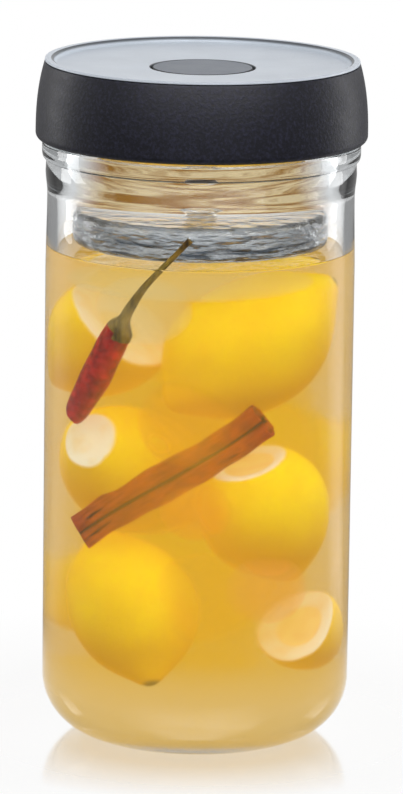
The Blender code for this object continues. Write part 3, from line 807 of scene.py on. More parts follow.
class JAR_OT_glass_weight(bpy.types.Operator):
    """Make the pressed glass weight with its mushroom knob"""

    bl_idname = "jar.glass_weight"
    bl_label = "Glass weight"

    def execute(self, context):
        sizes = context.scene.jar_sizes
        reach, low, high = round_box("glass_weight")
        radius = reach - sizes.wave
        top = low + WEIGHT_THICKNESS
        wide = high - KNOB_DOME
        cone_z = wide - KNOB_CONE
        fillet = KNOB_NECK + KNOB_FILLET
        round_mid = radius - WEIGHT_TOP_ROUND
        round_low = top - WEIGHT_TOP_ROUND
        foot_mid = radius - WEIGHT_FOOT_ROUND
        foot_top = low + WEIGHT_FOOT_ROUND
        outline = joined(
            arc((0.0, wide), (KNOB_RADIUS, KNOB_DOME), 90, 0, 14),
            (KNOB_RADIUS - 0.05 * MM, wide - BEVEL),
            (KNOB_NECK + BEVEL, cone_z + 0.4 * MM),
            (KNOB_NECK, cone_z),
            arc((fillet, top + KNOB_FILLET), KNOB_FILLET, 180, 270, 8),
            [(fillet + GUARD, top), (round_mid - GUARD, top)],
            arc((round_mid, round_low), WEIGHT_TOP_ROUND, 90, 0, 12),
            points(radius, np.linspace(round_low, foot_top, 16)[1:-1]),
            arc((foot_mid, foot_top), WEIGHT_FOOT_ROUND, 0, -90, 10),
            [(foot_mid - GUARD, low), (0.0, low)],
        )
        piece = turned("pressed_weight", outline, sizes.around, weight_relief(sizes.wave))
        look = (context.scene.jar_colours.weight, (radius, low + FOLD_HEIGHT))
        dress(piece, "weight", ["glass_weight"], "weight_glass", glass_finish, *look)
        piece.visible_shadow = False
        return {"FINISHED"}


def lug_relief(angle, radius, height):
    """The lugs inside the skirt, which reach in from its bore to run under the neck's ridges."""
    bore = round_box("lid_skirt")[0] - SKIRT_WALL
    inside = (np.abs(radius - bore) < HAIR) & (height < FLANGE_Z - GUARD)
    return np.where(inside, -helical_relief(angle, height, *LUG), 0.0)


class JAR_OT_lid_skirt(bpy.types.Operator):
    """Make the screw cap's wall with its flange and lugs"""

    bl_idname = "jar.lid_skirt"
    bl_label = "Lid skirt"

    def execute(self, context):
        radius, low, high = round_box("lid_skirt")
        edge_z = low + SKIRT_EDGE_ROUND
        lid_top = round_box("lid_top_plate")[2]
        bore = radius - SKIRT_WALL
        seat = radius - SKIRT_TAPER - SKIRT_EDGE_WALL
        side_z = np.linspace(high - 0.35 * MM, edge_z, 40)
        side = radius - SKIRT_TAPER * ((side_z - edge_z) / (lid_top - edge_z)) ** SKIRT_CURVE
        inner = bore - FLANGE_REACH
        flange_top = FLANGE_Z + FLANGE_THICKNESS
        outline = joined(
            [(seat + 0.25 * MM, high), (side[0] - 0.45 * MM, high)],
            (side[0] - 0.12 * MM, high - 0.08 * MM),
            points(side, side_z),
            arc((radius - SKIRT_EDGE_ROUND, edge_z), SKIRT_EDGE_ROUND, 0, -90, 12)[1:],
            [(bore + SKIRT_BEVEL, low), (bore + 0.15 * MM, low + 0.15 * MM)],
            points(bore, np.linspace(low + SKIRT_BEVEL + 0.2 * MM, FLANGE_Z - 0.2 * MM, 64)),
            [(bore, FLANGE_Z), (bore - 0.2 * MM, FLANGE_Z)],
            [(inner + BEVEL, FLANGE_Z), (inner, FLANGE_Z + BEVEL)],
            [(inner, flange_top - BEVEL), (inner + BEVEL, flange_top)],
            [(seat - BEVEL, flange_top), (seat, flange_top), (seat, flange_top + BEVEL)],
            [(seat, high - 0.5 * MM), (seat + HAIR, high - 0.15 * MM)],
        )
        piece = turned("cap_skirt", outline, context.scene.jar_sizes.around, lug_relief)
        look = (context.scene.jar_colours.skirt, SKIRT_WEAR, SKIRT_SPECK)
        dress(piece, "lid", ["lid_skirt"], "anthracite_plastic", moulded_finish, *look)
        return {"FINISHED"}


class JAR_OT_top_plate(bpy.types.Operator):
    """Make the dished plate in the lid's top with its raised rim"""

    bl_idname = "jar.top_plate"
    bl_label = "Top plate"

    def execute(self, context):
        radius, low, high = round_box("lid_top_plate")
        wall = radius - SKIRT_EDGE_WALL - BEVEL
        hole = round_box("vent_button")[0] + BUTTON_GAP
        floor_z = low + DISH_FLOOR
        edge_z = floor_z + DISH_FALL
        dish = wall - DISH_WALL - DISH_ROUND
        land = radius - RIM_WIDTH
        lip_low = high - LIP_THICKNESS
        slope_r = np.linspace(hole + 0.5 * MM, dish, 12)
        outline = joined(
            arc((land + BEVEL, high - BEVEL), BEVEL, 160, 90, 5),
            [(land + 0.6 * MM, high), (radius - 0.65 * MM, high)],
            arc((radius - PLATE_ROUND, high - PLATE_ROUND), PLATE_ROUND, 90, 0, 7),
            [(radius + 0.04 * MM, lip_low + NICK), (radius - HAIR, lip_low)],
            [(wall + NICK, lip_low), (wall, lip_low - NICK), (wall, low + NICK), (wall - NICK, low)],
            [(hole + NICK, low), (hole, low + NICK)],
            arc((hole + PLATE_ROUND, floor_z - PLATE_ROUND), PLATE_ROUND, 180, 95, 6),
            points(slope_r, floor_z + DISH_FALL * (slope_r - hole) / (dish - hole)),
            arc((dish, edge_z + DISH_ROUND), DISH_ROUND, -86, 0, 12),
        )
        # Painted shade: the dish's inner wall darkens towards its top, and the plate's edge round the
        # button's hole is dark all through, where shade falls into the gap.
        painted_shade_low = edge_z + DISH_ROUND / 2
        rise = (outline[:, 1] - painted_shade_low) / (high - DISH_PAINTED_SHADE_TOP - painted_shade_low)
        on_wall = (outline[:, 0] < land + NICK) & (outline[:, 0] > dish)
        shade = np.where(on_wall, np.clip(rise, 0.0, 1.0), 0.0)
        shade = np.where(outline[:, 0] < hole + BEVEL, 1.0, shade)
        piece = turned("top_plate", outline, context.scene.jar_sizes.around, marks={"shade": shade})
        look = {"colour": context.scene.jar_colours.plate, "painted_shade": DISH_PAINTED_SHADE}
        dress(piece, "lid", ["lid_top_plate"], "satin_grey_plastic", moulded_finish, **look)
        return {"FINISHED"}


def vent_cutter(floor_low, floor_high):
    """Six short pins on a circle, joined in one mesh, which leave the vent holes."""
    high = floor_high + GUARD
    low = floor_low - GUARD
    outline = joined((0.0, high), (VENT_RADIUS, high), (VENT_RADIUS, low), (0.0, low))
    pins = bmesh.new()
    for number in range(VENT_COUNT):
        shift = around_axis(VENT_CIRCLE, TURN * number / VENT_COUNT, 0.0)
        pin = turned(f"vent_pin_{number}", outline, 24, pose=(np.eye(3), shift))
        pins.from_mesh(pin.data)
        bpy.data.objects.remove(pin)
    mesh = bpy.data.meshes.new("vent_pins")
    pins.to_mesh(mesh)
    pins.free()
    return put_in_scene("vent_pins", mesh)


def cut_out(piece, cutter):
    """Take a cutter's shape out of a piece, keep the result as its mesh, and drop the cutter."""
    modifier = piece.modifiers.new("cut", "BOOLEAN")
    modifier.object = cutter
    modifier.operation = "DIFFERENCE"
    modifier.solver = "EXACT"
    graph = bpy.context.evaluated_depsgraph_get()
    mesh = bpy.data.meshes.new_from_object(piece.evaluated_get(graph))
    piece.modifiers.clear()
    piece.data = mesh
    mesh.shade_smooth()
    mesh.set_sharp_from_angle(angle=math.radians(40))
    bpy.data.objects.remove(cutter)


class JAR_OT_lid_liner(bpy.types.Operator):
    """Make the disc inside the lid with its spigot, plug ring and valve well"""

    bl_idname = "jar.lid_liner"
    bl_label = "Lid liner"

    def execute(self, context):
        sizes = context.scene.jar_sizes
        radius, low, high = round_box("lid_liner")
        disc_low = LINER_TOP - LINER_THICKNESS
        plug_low = disc_low - PLUG_LENGTH
        floor_high = low + WELL_FLOOR
        spigot_bore = SPIGOT_RADIUS - SPIGOT_WALL
        plug_bore = PLUG_RADIUS - PLUG_WALL
        well = WELL_BORE + WELL_WALL
        corners = [
            (spigot_bore, high, 1), (SPIGOT_RADIUS, high, 1), (SPIGOT_RADIUS, LINER_TOP, 0.5),
            (radius, LINER_TOP, 1), (radius, disc_low, 1), (PLUG_RADIUS, disc_low, 0.5),
            (PLUG_RADIUS, plug_low, 2), (plug_bore, plug_low, 2), (plug_bore, disc_low, 2),
            (well, disc_low, 2), (well, low, 3), (TUBE_HOLE, low, 0.5), (TUBE_HOLE, floor_high, 0.5),
            (WELL_BORE, floor_high, 1), (WELL_BORE, LINER_TOP, 1), (spigot_bore, LINER_TOP, 1),
        ]
        piece = turned("lid_inner", supported(softened(corners, sizes.edge)), sizes.around // 2)
        cut_out(piece, vent_cutter(low, floor_high))
        colour = context.scene.jar_colours.liner
        dress(piece, "lid", ["lid_liner"], "white_plastic", moulded_finish, colour)
        return {"FINISHED"}


class JAR_OT_seals(bpy.types.Operator):
    """Make the gasket, the vent membrane, the washer on the plunger and the ring seal"""

    bl_idname = "jar.seals"
    bl_label = "Seals"

    def execute(self, context):
        sizes = context.scene.jar_sizes
        colours = context.scene.jar_colours
        milky = ("clear_silicone", colours.silicone, 0.35)
        thin = ("membrane_silicone", toned(colours.silicone, 0.9), 0.3)
        brown = ("seal_silicone", colours.seal, 0.15)
        rings = (
            ("gasket_ring", "lid_gasket", GASKET_BORE, "seal_ring", milky),
            ("membrane_ring", "vent_membrane", MEMBRANE_BORE, "membrane", thin),
            ("plunger_washer", "valve_seal", SEAL_BORE, "button", brown),
        )
        for name, node, bore, body, (slot, colour, cloudiness) in rings:
            radius, low, high = round_box(node)
            outline = ring_outline(bore, radius, low, high, (high - low) * SEAL_SOFT)
            piece = turned(name, supported(outline, hold=0.12 * MM), sizes.around)
            dress(piece, body, [node], slot, silicone_finish, colour, cloudiness)
        radius, low, high = round_box("valve_oring")
        outline = arc((radius - ORING_WIRE, (low + high) / 2), ORING_WIRE, 180, -180, 20)[:-1]
        piece = turned("ring_seal", outline, sizes.around_small)
        dress(piece, "lid", ["valve_oring"], "black_rubber", moulded_finish, colours.rubber)
        return {"FINISHED"}


def hexagon_relief(angle, radius, height):
    """Flats on a round outline: a side of a hexagon at angle a from its middle lies at the
    apothem over cos a, and only the part of a radius past that is taken off."""
    reach, low, high = round_box("valve_nut")
    fold = np.mod(angle, TURN / 6) - TURN / 12
    chamfer = NUT_BEVEL
    for depth in (high - height, height - low):
        chamfer = chamfer + NUT_CHAMFER * np.clip(1 - depth / NUT_CHAMFER_HEIGHT, 0.0, 1.0)
    flat = np.minimum(reach * math.cos(TURN / 12) / np.cos(fold), reach - chamfer)
    outside = radius > reach - NUT_SIDE
    return np.where(outside, np.minimum(flat - (reach - radius), radius) - radius, 0.0)


class JAR_OT_valve(bpy.types.Operator):
    """Make the valve's tube with its flange and the nut that holds it"""

    bl_idname = "jar.valve"
    bl_label = "Valve tube and nut"

    def execute(self, context):
        sizes = context.scene.jar_sizes
        colour = context.scene.jar_colours.valve
        radius, low, high = round_box("valve_tube")
        flange = high - TUBE_FLANGE
        corners = [
            (TUBE_BORE, high, 1), (radius, high, 1), (radius, flange, 1), (TUBE_RADIUS, flange, 0.5),
            (TUBE_RADIUS, low, 1), (TUBE_BORE, low, 1),
        ]
        piece = turned("vent_tube", supported(softened(corners, sizes.edge)), sizes.around_small)
        dress(piece, "lid", ["valve_tube"], "dark_plastic", moulded_finish, colour)
        outline = supported(ring_outline(TUBE_HOLE, *round_box("valve_nut"), sizes.edge))
        piece = turned("tube_nut", outline, sizes.around_small * 2, hexagon_relief)
        dress(piece, "lid", ["valve_nut"], "nut_plastic", moulded_finish, toned(colour, 1.4))
        return {"FINISHED"}


class JAR_OT_button(bpy.types.Operator):
    """Make the vent button and the plunger under it"""

    bl_idname = "jar.button"
    bl_label = "Button and plunger"

    def execute(self, context):
        sizes = context.scene.jar_sizes
        colours = context.scene.jar_colours
        soft = sizes.edge
        radius, low, high = round_box("vent_button")
        under = high - BUTTON_TOP
        skin = under - BUTTON_DROP
        inside = radius - BUTTON_WALL
        top_r = np.linspace(0.0, radius - 1.2 * MM, 10)
        outline = joined(
            points(top_r, high - BUTTON_CROWN * (1 - (top_r / radius) ** 2)),
            arc((radius - BUTTON_ROUND, high - BUTTON_ROUND), BUTTON_ROUND, 90, 0, 8),
            [(radius, high - 0.8 * MM), (radius, skin + soft), (radius - soft, skin)],
            [(inside + soft, skin), (inside, skin + soft)],
            [(inside, under - soft), (inside - soft, under)],
            [(HUB_RADIUS + soft, under), (HUB_RADIUS, under - soft)],
            [(HUB_RADIUS, low + soft), (HUB_RADIUS - soft, low)],
            [(HUB_BORE + soft, low), (HUB_BORE, low + soft)],
            [(HUB_BORE, SOCKET_TOP), (0.0, SOCKET_TOP)],
        )
        # Painted shade: the button's outer edge and its underside are darkened, where shade falls in
        # the gap round it.
        dark = (outline[:, 0] > radius - BUTTON_PAINTED_SHADE_EDGE) | (outline[:, 1] < under)
        marks = {"shade": np.where(dark, 1.0, 0.0)}
        piece = turned("press_button", outline, sizes.around, marks=marks)
        look = {"colour": colours.button, "painted_shade": BUTTON_PAINTED_SHADE}
        dress(piece, "button", ["vent_button"], "button_grey", moulded_finish, **look)
        radius, low, high = round_box("valve_plunger")
        shoulder = low + HEAD_THICKNESS
        outline = joined(
            [(0.0, high), (STEM_RADIUS - soft, high), (STEM_RADIUS, high - soft)],
            [(STEM_RADIUS, shoulder + soft), (STEM_RADIUS + soft, shoulder)],
            [(radius - soft / 2, shoulder), (radius, shoulder - soft / 2)],
            arc((radius - BUTTON_ROUND, low + BUTTON_ROUND), BUTTON_ROUND, 0, -90, 8),
            [(radius - GUARD, low), (0.0, low)],
        )
        piece = turned("vent_plunger", outline, sizes.around_small)
        colour = toned(colours.valve, 1.2)
        dress(piece, "button", ["valve_plunger"], "plunger_plastic", moulded_finish, colour)
        return {"FINISHED"}


class JAR_OT_spring(bpy.types.Operator):
    """Make the coil under the button"""

    bl_idname = "jar.spring"
    bl_label = "Spring"

    def execute(self, context):
        reach, low, high = round_box("valve_spring")
        bottom = low + SPRING_WIRE
        top = high - SPRING_WIRE
        share = np.linspace(0.0, 1.0, int(SPRING_TURNS * 48))
        free = (share * SPRING_TURNS - SPRING_GROUND) / (SPRING_TURNS - 2 * SPRING_GROUND)
        climb = np.clip(free, 0.0, 1.0) * (1 - SPRING_FLAT) + share * SPRING_FLAT
        angle = TURN * SPRING_TURNS * share
        path = around_axis(reach - SPRING_WIRE, angle, bottom + (top - bottom) * climb)
        wire = around_axis(SPRING_WIRE, whole_turn(14), 0.0)[:, :2]
        wires = np.repeat(wire[None], len(path), axis=0)
        piece = carried("button_coil", path, np.array([0.0, 0.0, 1.0]), wires)
        colour = context.scene.jar_colours.steel
        dress(piece, "lid", ["valve_spring"], "spring_steel", steel_finish, colour)
        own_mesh(piece)
        return {"FINISHED"}


# What the jar is shown with. It isn't a part of the jar, so like the floor it rides on none of its
# bodies.

BRINE_LEVEL = 173.5 * MM
BRINE_OVERLAP = 0.12 * MM
BRINE_SHEEN = (0.15, 0.15, 0.15)
BRINE_BLUR = 0.2
MENISCUS = 0.9 * MM
FILM_GAP = 0.05 * MM
FILM_START = (176 * MM, 179 * MM)
FILM_COLOURS = ((0.76, 0.60, 0.34), (0.34, 0.15, 0.008))

# Name, centre and direction of the long axis, length and width, how far from the centre the fruit
# is cut across, and the thickness of its pith, all in millimetres. A cut past the tip leaves it whole.
WHOLE = 99.0
FRUIT = (
    ("upper_right", (15.5, -20.3, 144.5), (0.72, 0.33, 0.6), 68.0, 45.0, WHOLE, 3.0),
    ("mid_right", (20.5, -19.5, 85.5), (-0.25, -0.3, 0.92), 57.0, 41.0, 20.0, 5.0),
    ("lower_left", (-19.5, -20.0, 50.5), (0.2, -0.5, -0.84), 59.0, 41.5, WHOLE, 3.0),
    ("mid_left", (-18.0, -9.5, 98.0), (-0.66, -0.6, 0.5), 64.0, 42.0, 25.0, 14.0),
    ("upper_left", (-26.0, -9.0, 145.0), (0.5, -0.45, 0.72), 56.0, 38.0, 7.0, 14.0),
    ("lower_right", (31.0, -10.0, 41.0), (-0.3, -0.75, 0.6), 42.0, 28.0, 3.0, 7.0),
    ("back_low", (-6.0, 27.0, 50.0), (0.8, 0.1, 0.5), 58.0, 41.0, WHOLE, 3.0),
    ("back_mid", (10.0, 26.0, 97.0), (-0.6, 0.2, 0.75), 58.0, 41.0, WHOLE, 3.0),
    ("back_high", (0.0, 26.0, 143.0), (0.75, 0.1, -0.6), 60.0, 42.0, WHOLE, 3.0),
)
TIP_SWELL = 0.16
TIP_WIDTH = 0.33
SCAR_RADIUS = 4.0 * MM
SCAR_COLOUR = (0.16, 0.10, 0.01)
PITH_COLOUR = (0.86, 0.80, 0.60)
FLESH_COLOUR = (0.80, 0.62, 0.25)
# Strength of the fruit's painted glow in its own colour
FRUIT_PAINTED_GLOW = 0.56
FRUIT_LUMPS = ((1.0, 2, 1, 60), (0.6, 3, -1, 110), (0.5, 5, 2, -170))
FRUIT_LUMP_SHARE = 0.014
FRUIT_PHASE = 1.7

# Name, centre, half sizes, colour and density of the clouds in the brine, in millimetres and for each
# metre. Each cloud glows in its colour: painted light in pools where light shines through the brine.
CLOUDS = (
    ("cloud_top", (-4.0, -26.0, 167.0), (40.0, 22.0, 6.0), (0.82, 0.66, 0.30), 30.0),
    ("cloud_pale", (-18.0, -34.0, 158.0), (16.0, 12.0, 12.0), (0.82, 0.70, 0.36), 30.0),
    ("cloud_amber", (-3.0, -34.0, 119.0), (16.0, 12.0, 16.0), (0.95, 0.38, 0.005), 45.0),
    ("cloud_orange", (0.0, -36.0, 88.0), (12.0, 11.0, 10.0), (1.05, 0.38, 0.01), 50.0),
    ("cloud_gold", (3.0, -30.0, 56.0), (18.0, 15.0, 16.0), (0.95, 0.47, 0.01), 40.0),
    ("cloud_peach", (23.0, -34.0, 60.0), (14.0, 9.0, 12.0), (1.0, 0.42, 0.06), 50.0),
    ("cloud_base", (0.0, 0.0, 16.0), (47.5, 47.5, 11.0), (0.86, 0.60, 0.22), 55.0),
    ("cloud_core", (0.0, 6.0, 92.0), (31.0, 28.0, 79.0), (0.92, 0.46, 0.01), 45.0),
)

# Middle line and radius of the pod and of its stalk, in millimetres, and the two colours of each
POD_LINE = (
    (-25.9, -36.5, 151.5), (-29.3, -33.0, 143.0), (-32.5, -29.6, 134.5), (-36.1, -25.7, 126.0),
    (-39.4, -22.4, 118.8), (-40.5, -21.7, 117.0),
)
POD_RADIUS = (4.6, 5.2, 5.3, 5.0, 4.0, 2.8)
POD_COLOURS = ((0.26, 0.002, 0.002), (0.80, 0.020, 0.014))
STALK_LINE = (
    (-26.6, -36.2, 148.6), (-25.6, -36.9, 152.0), (-24.4, -38.8, 155.6), (-22.3, -41.1, 160.5),
    (-18.2, -43.9, 167.5), (-12.6, -46.2, 174.4), (-7.4, -47.3, 180.2), (-3.4, -47.7, 184.6),
)
STALK_RADIUS = (4.7, 4.4, 2.2, 1.6, 1.2, 1.0, 0.9, 1.2)
STALK_COLOURS = ((0.05, 0.035, 0.003), (0.36, 0.24, 0.03))
SOAKED_IOR = 1.12

# The rolled bark, from one end to the other, the section of its two rolls, and its dents, as rows
# of strength and sine waves along and across it
BARK_ENDS = ((-37.6, -26.0, 77.0), (21.0, -38.6, 121.0))
BARK_ROLL = 3.6 * MM
BARK_CORE = 1.2 * MM
BARK_THICKNESS = 0.9 * MM
BARK_TURNS = 1.5
BARK_BEND = 0.6 * MM
BARK_ROWS = 90
BARK_GIRTH = 60 * MM
BARK_DENTS = ((0.05, 9, 14), (0.03, 31, -22))
BARK_COLOURS = ((0.17, 0.018, 0.001), (0.70, 0.13, 0.005))
# Width of the painted shade along the groove between the two rolls
GROOVE_SHADE_WIDTH = 0.9 * MM


def brine_outline():
    """The bore of the jar up to the brine's level, a hair into the glass so that light passes from
    one to the other without air between, and curled up a little where it meets the glass."""
    bore = jar_radii()[1]
    heel = HEEL_RADIUS - BODY_WALL
    wet = BRINE_OVERLAP
    top_r = np.linspace(0.0, bore + wet, 48)
    curl = MENISCUS * np.exp(-(bore + wet - top_r) / MENISCUS)
    return joined(
        points(top_r, BRINE_LEVEL + curl),
        (bore + wet, BRINE_LEVEL - GUARD),
        arc((bore - heel, BASE_THICKNESS + heel), heel + wet, 0, -90, 24),
        (0.0, BASE_THICKNESS - wet),
    )


def fog(tree, colour, density):
    """A body that fades what is behind it to a colour: it soaks light up and gives its own colour back
    as a painted glow, which stands in for light scattered in it.
    """
    soak = shader(tree, "ShaderNodeVolumeAbsorption", {"Color": (0.0, 0.0, 0.0), "Density": density})
    glow = shader(tree, "ShaderNodeEmission", {"Color": colour, "Strength": density})
    return shader(tree, "ShaderNodeAddShader", {0: soak, 1: glow})


def brine_finish(colour, cloudiness):
    """Cloudy brine: it fades what lies deep in it to its own colour by the length of the way, as a soak
    and a painted glow that balance, and blurs it. Lamps shine in through its surface."""
    material, tree = new_material("brine")
    top = BRINE_LEVEL - GUARD
    up = part_of(object_place(tree))
    inputs = {
        "IOR": 1.34,
        "Transmission Weight": 1.0,
        "Specular Tint": BRINE_SHEEN,
        "Roughness": spread(up, top, top + GUARD / 2, BRINE_BLUR, 0.0),
        "Normal": bumped(noise(object_place(tree), 12 * MM, 2.0), 0.05 * MM),
    }
    liquid = shader(tree, "ShaderNodeBsdfPrincipled", inputs)
    clear = shader(tree, "ShaderNodeBsdfTransparent")
    shown = mixed_shader(ray(tree, "Is Shadow Ray"), liquid, clear)
    return finished(material, shown, fog(tree, colour, cloudiness))


def cloud(name, centre, reach, colour, density):
    """A soft cloud of juice and pulp in the brine, which glows in its own colour as painted light: an
    ellipsoid with no skin, whose point at angles a and p from its axis is the centre plus each half
    size times its own sine and cosine."""
    ball = arc((0.0, 0.0), 1.0, 90, -90, 24)
    ball[[0, -1], 0] = 0.0
    made = turned(name, ball, 48, pose=(np.diag(reach) * MM, np.array(centre) * MM))
    material, tree = new_material(name)
    made.data.materials.append(finished(material, volume=fog(tree, colour, density)))
    return made


def fruit_finish(peel):
    """Waxy peel with pores and warmer patches. It glows a little in its own colour, which is painted
    light in place of the light that soaks through, and turns ochre on faces that look down, which is
    painted shade. Its layer mark leads from peel, 0, over pith, a half, to flesh, 1, and the other way
    to the scar of the stalk, -1."""
    material, tree = new_material("fruit")
    place = object_place(tree)
    patch = noise(place, 24 * MM, 2.0)
    cells = noise(object_place(tree, (1.0, 1.0, 0.4)), 4 * MM)
    pulp = noise(object_place(tree, centre=(0.1, 0.3, 0.0)), 9 * MM)
    inputs = {"Vector": place, "Scale": 1 / (1.7 * MM)}
    pores = add_node(tree, "ShaderNodeTexVoronoi", inputs, feature="F1").outputs["Distance"]
    upward = part_of(add_node(tree, "ShaderNodeNewGeometry").outputs["Normal"])
    layer = mark_value(tree, "layer")
    skin = mixed(spread(patch, 0.35, 0.7), peel, toned(peel, (0.9, 0.78, 1.0)))
    # Painted shade: the peel turns ochre on faces that look down.
    painted_shade = spread(upward, -0.6, 0.7, 0.95, 0.0)
    skin = mixed(painted_shade, skin, toned(peel, (0.55, 0.36, 1.0)))
    skin = mixed(spread(pores, 0.0, 0.3, 0.6, 0.0), skin, toned(peel, (0.6, 0.42, 1.0)))
    skin = mixed(spread(layer, -0.6, -0.15, 1.0, 0.0), skin, SCAR_COLOUR)
    flesh = mixed(spread(cells, 0.35, 0.65), FLESH_COLOUR, toned(FLESH_COLOUR, 1.15))
    pith = mixed(spread(pulp, 0.45, 0.75, 0.0, 0.7), PITH_COLOUR, FLESH_COLOUR)
    edge = worked("MULTIPLY", layer, spread(pulp, 0.3, 0.7, 0.5, 1.6))
    shade = mixed(spread(edge, 0.05, 0.3), skin, pith)
    shade = mixed(spread(layer, 0.6, 0.85), shade, flesh)
    inputs = {
        "Base Color": shade,
        "Roughness": spread(patch, 0.3, 0.7, 0.35, 0.5),
        "Specular IOR Level": 0.0,
        # Painted light: the fruit glows in its own colour, though it is no lamp.
        "Emission Color": shade,
        "Emission Strength": FRUIT_PAINTED_GLOW,
        "Normal": bumped(spread(pores, 0.0, 0.45), 0.08 * MM, 0.6),
    }
    return principled(material, inputs)


def fruit_outline(length, width, cut, pith):
    """Half the outline of a lemon-shaped fruit about its long axis. At polar angle p its radius is
    half the width times sin p, and its height half the length times cos p, which is stretched near
    the two ends into tips. A cut fruit starts with its flesh and the soft rim of its pith."""
    polar = np.linspace(0.0, math.pi, 80)
    radius = width / 2 * np.sin(polar)
    radius[[0, -1]] = 0.0
    swell = 1 + TIP_SWELL * np.exp(-((np.sin(polar) / TIP_WIDTH) ** 2))
    height = length / 2 / (1 + TIP_SWELL) * np.cos(polar) * swell
    kept = height < cut
    outline = points(radius, height)[kept]
    if kept.all():
        layer = -np.clip(1 - outline[:, 0] / SCAR_RADIUS, 0.0, 1.0) * (outline[:, 1] > 0)
        return outline, layer
    rim = outline[0, 0]
    inner = max(rim - pith, 0.08 * rim)
    soft = rim - inner
    flesh = 1.0 if pith < rim else 0.5
    face = np.array([
        (0.0, 2.0 * MM, flesh),
        (inner * 0.35, 1.9 * MM, flesh),
        (inner * 0.7, 1.7 * MM, flesh),
        (inner, 1.4 * MM, flesh),
        (inner + soft * 0.3, 0.5 * MM, 0.5),
        (inner + soft * 0.6, 0.0, 0.5),
        (rim - 0.9 * MM, 0.1 * MM, 0.5),
        (rim - 0.3 * MM, 0.4 * MM, 0.2),
    ])
    outline = joined(points(face[:, 0], cut - face[:, 1]), outline[1:])
    layer = np.zeros(len(outline))
    layer[: len(face)] = face[:, 2]
    return outline, layer


def fruit_relief(phase):
    """Uneven growth: the radius swells by two or three parts in a hundred, with sines of the angle
    and the height."""

    def relief(angle, radius, height):
        return FRUIT_LUMP_SHARE * radius * ripples(FRUIT_LUMPS, angle, height, phase)

    return relief


def smooth_line(line, steps):
    """A smooth line through points at even steps of its parameter: the cubic of Catmull and Rom,
    whose direction at a point runs from the point before to the one after."""
    knots = np.array(line, dtype=float)
    knots = knots[:, None] if knots.ndim == 1 else knots
    padded = np.concatenate([2 * knots[:1] - knots[1:2], knots, 2 * knots[-1:] - knots[-2:-1]])
    at = np.linspace(0.0, len(knots) - 1.0, steps)
    first = np.minimum(at.astype(int), len(knots) - 2)
    t = (at - first)[:, None]
    p0, p1, p2, p3 = (padded[first + k] for k in range(4))
    square = (2 * p0 - 5 * p1 + 4 * p2 - p3) * t**2
    cube = (3 * p1 - p0 - 3 * p2 + p3) * t**3
    return (2 * p1 + (p2 - p0) * t + square + cube) / 2


def tapered(name, line, radii, steps, sides, wrinkle):
    """A round body along a smooth line whose radius follows a smooth line of its own. Wrinkles are
    sines of the angle and of the way along it."""
    path = smooth_line(line, steps) * MM
    radius = smooth_line(radii, steps) * MM
    angle = whole_turn(sides)[None, :]
    share = np.linspace(0.0, 1.0, steps)[:, None]
    radius = radius * (1 + wrinkle * np.sin(3 * angle + 7 * share) * np.cos(11 * share + angle))
    return carried(name, path, np.array([0.3, 1.0, 0.2]), around_axis(radius, angle, 0.0)[..., :2])


def skin_finish(name, colours, size, roughness, stretch=(1.0, 1.0, 1.0)):
    """A glossy plant skin that is mottled between two colours."""
    material, tree = new_material(name)
    mottle = noise(object_place(tree, stretch), size, 4.0, 0.6)
    fine = noise(object_place(tree), size / 5)
    inputs = {
        "Base Color": mixed(spread(mottle, 0.35, 0.7), *colours),
        "Roughness": spread(fine, 0.3, 0.7, roughness, roughness + 0.12),
        "Specular IOR Level": 0.5,
        "IOR": SOAKED_IOR,
        "Normal": bumped(mottle, 0.15 * MM),
    }
    return principled(material, inputs)


def bark_section(steps):
    """Half of the bark's section: a spiral whose radius grows with its angle from the core to the
    outside, where it joins its mirror image at the back. The two rolls meet in a groove in front."""
    angle = np.linspace(0.0, TURN * BARK_TURNS, steps)
    radius = BARK_CORE + (BARK_ROLL - BARK_CORE) * (angle / angle[-1]) ** 0.8
    turn = angle - angle[-1] + TURN / 4 * 1.1
    half = points(radius * np.cos(turn) - BARK_ROLL * 0.96, -radius * np.sin(turn))
    return np.concatenate([half, (half * (-1.0, 1.0))[::-1]])


def make_bark():
    """Two rolls of bark side by side: the section is carried along a nearly straight line with
    slow dents, and gets its thickness last."""
    start, end = np.array(BARK_ENDS) * MM
    share = np.linspace(0.0, 1.0, BARK_ROWS)[:, None]
    length = np.linalg.norm(end - start)
    ahead = (end - start) / length
    over = np.cross(ahead, (0.05, 1.0, 0.0))
    over /= np.linalg.norm(over)
    side = np.cross(ahead, over)
    path = start + (end - start) * share + over * BARK_BEND * np.sin(5.2 * share + 0.5)
    section = bark_section(48)
    way = np.linspace(0.0, 1.0, len(section))[None, :]
    dent = 1.0
    for gain, along, across in BARK_DENTS:
        dent = dent + gain * np.sin(along * share + across * way)
    spokes = section[:, :1] * over + section[:, 1:] * side
    # Painted shade: a mark that is 1 along the groove between the rolls.
    groove = np.exp(-((section[:, 0] / GROOVE_SHADE_WIDTH) ** 2))[None, :]
    marks = {
        "along": np.repeat(share * length, len(section), 1),
        "across": np.repeat(way * BARK_GIRTH, BARK_ROWS, 0),
        "groove": np.repeat(groove, BARK_ROWS, 0),
    }
    bark = surface("rolled_bark", path[:, None] + spokes * dent[..., None], False, marks, ring=False)
    wall = bark.modifiers.new("wall", "SOLIDIFY")
    wall.thickness = BARK_THICKNESS
    wall.offset = 0.0
    return bark


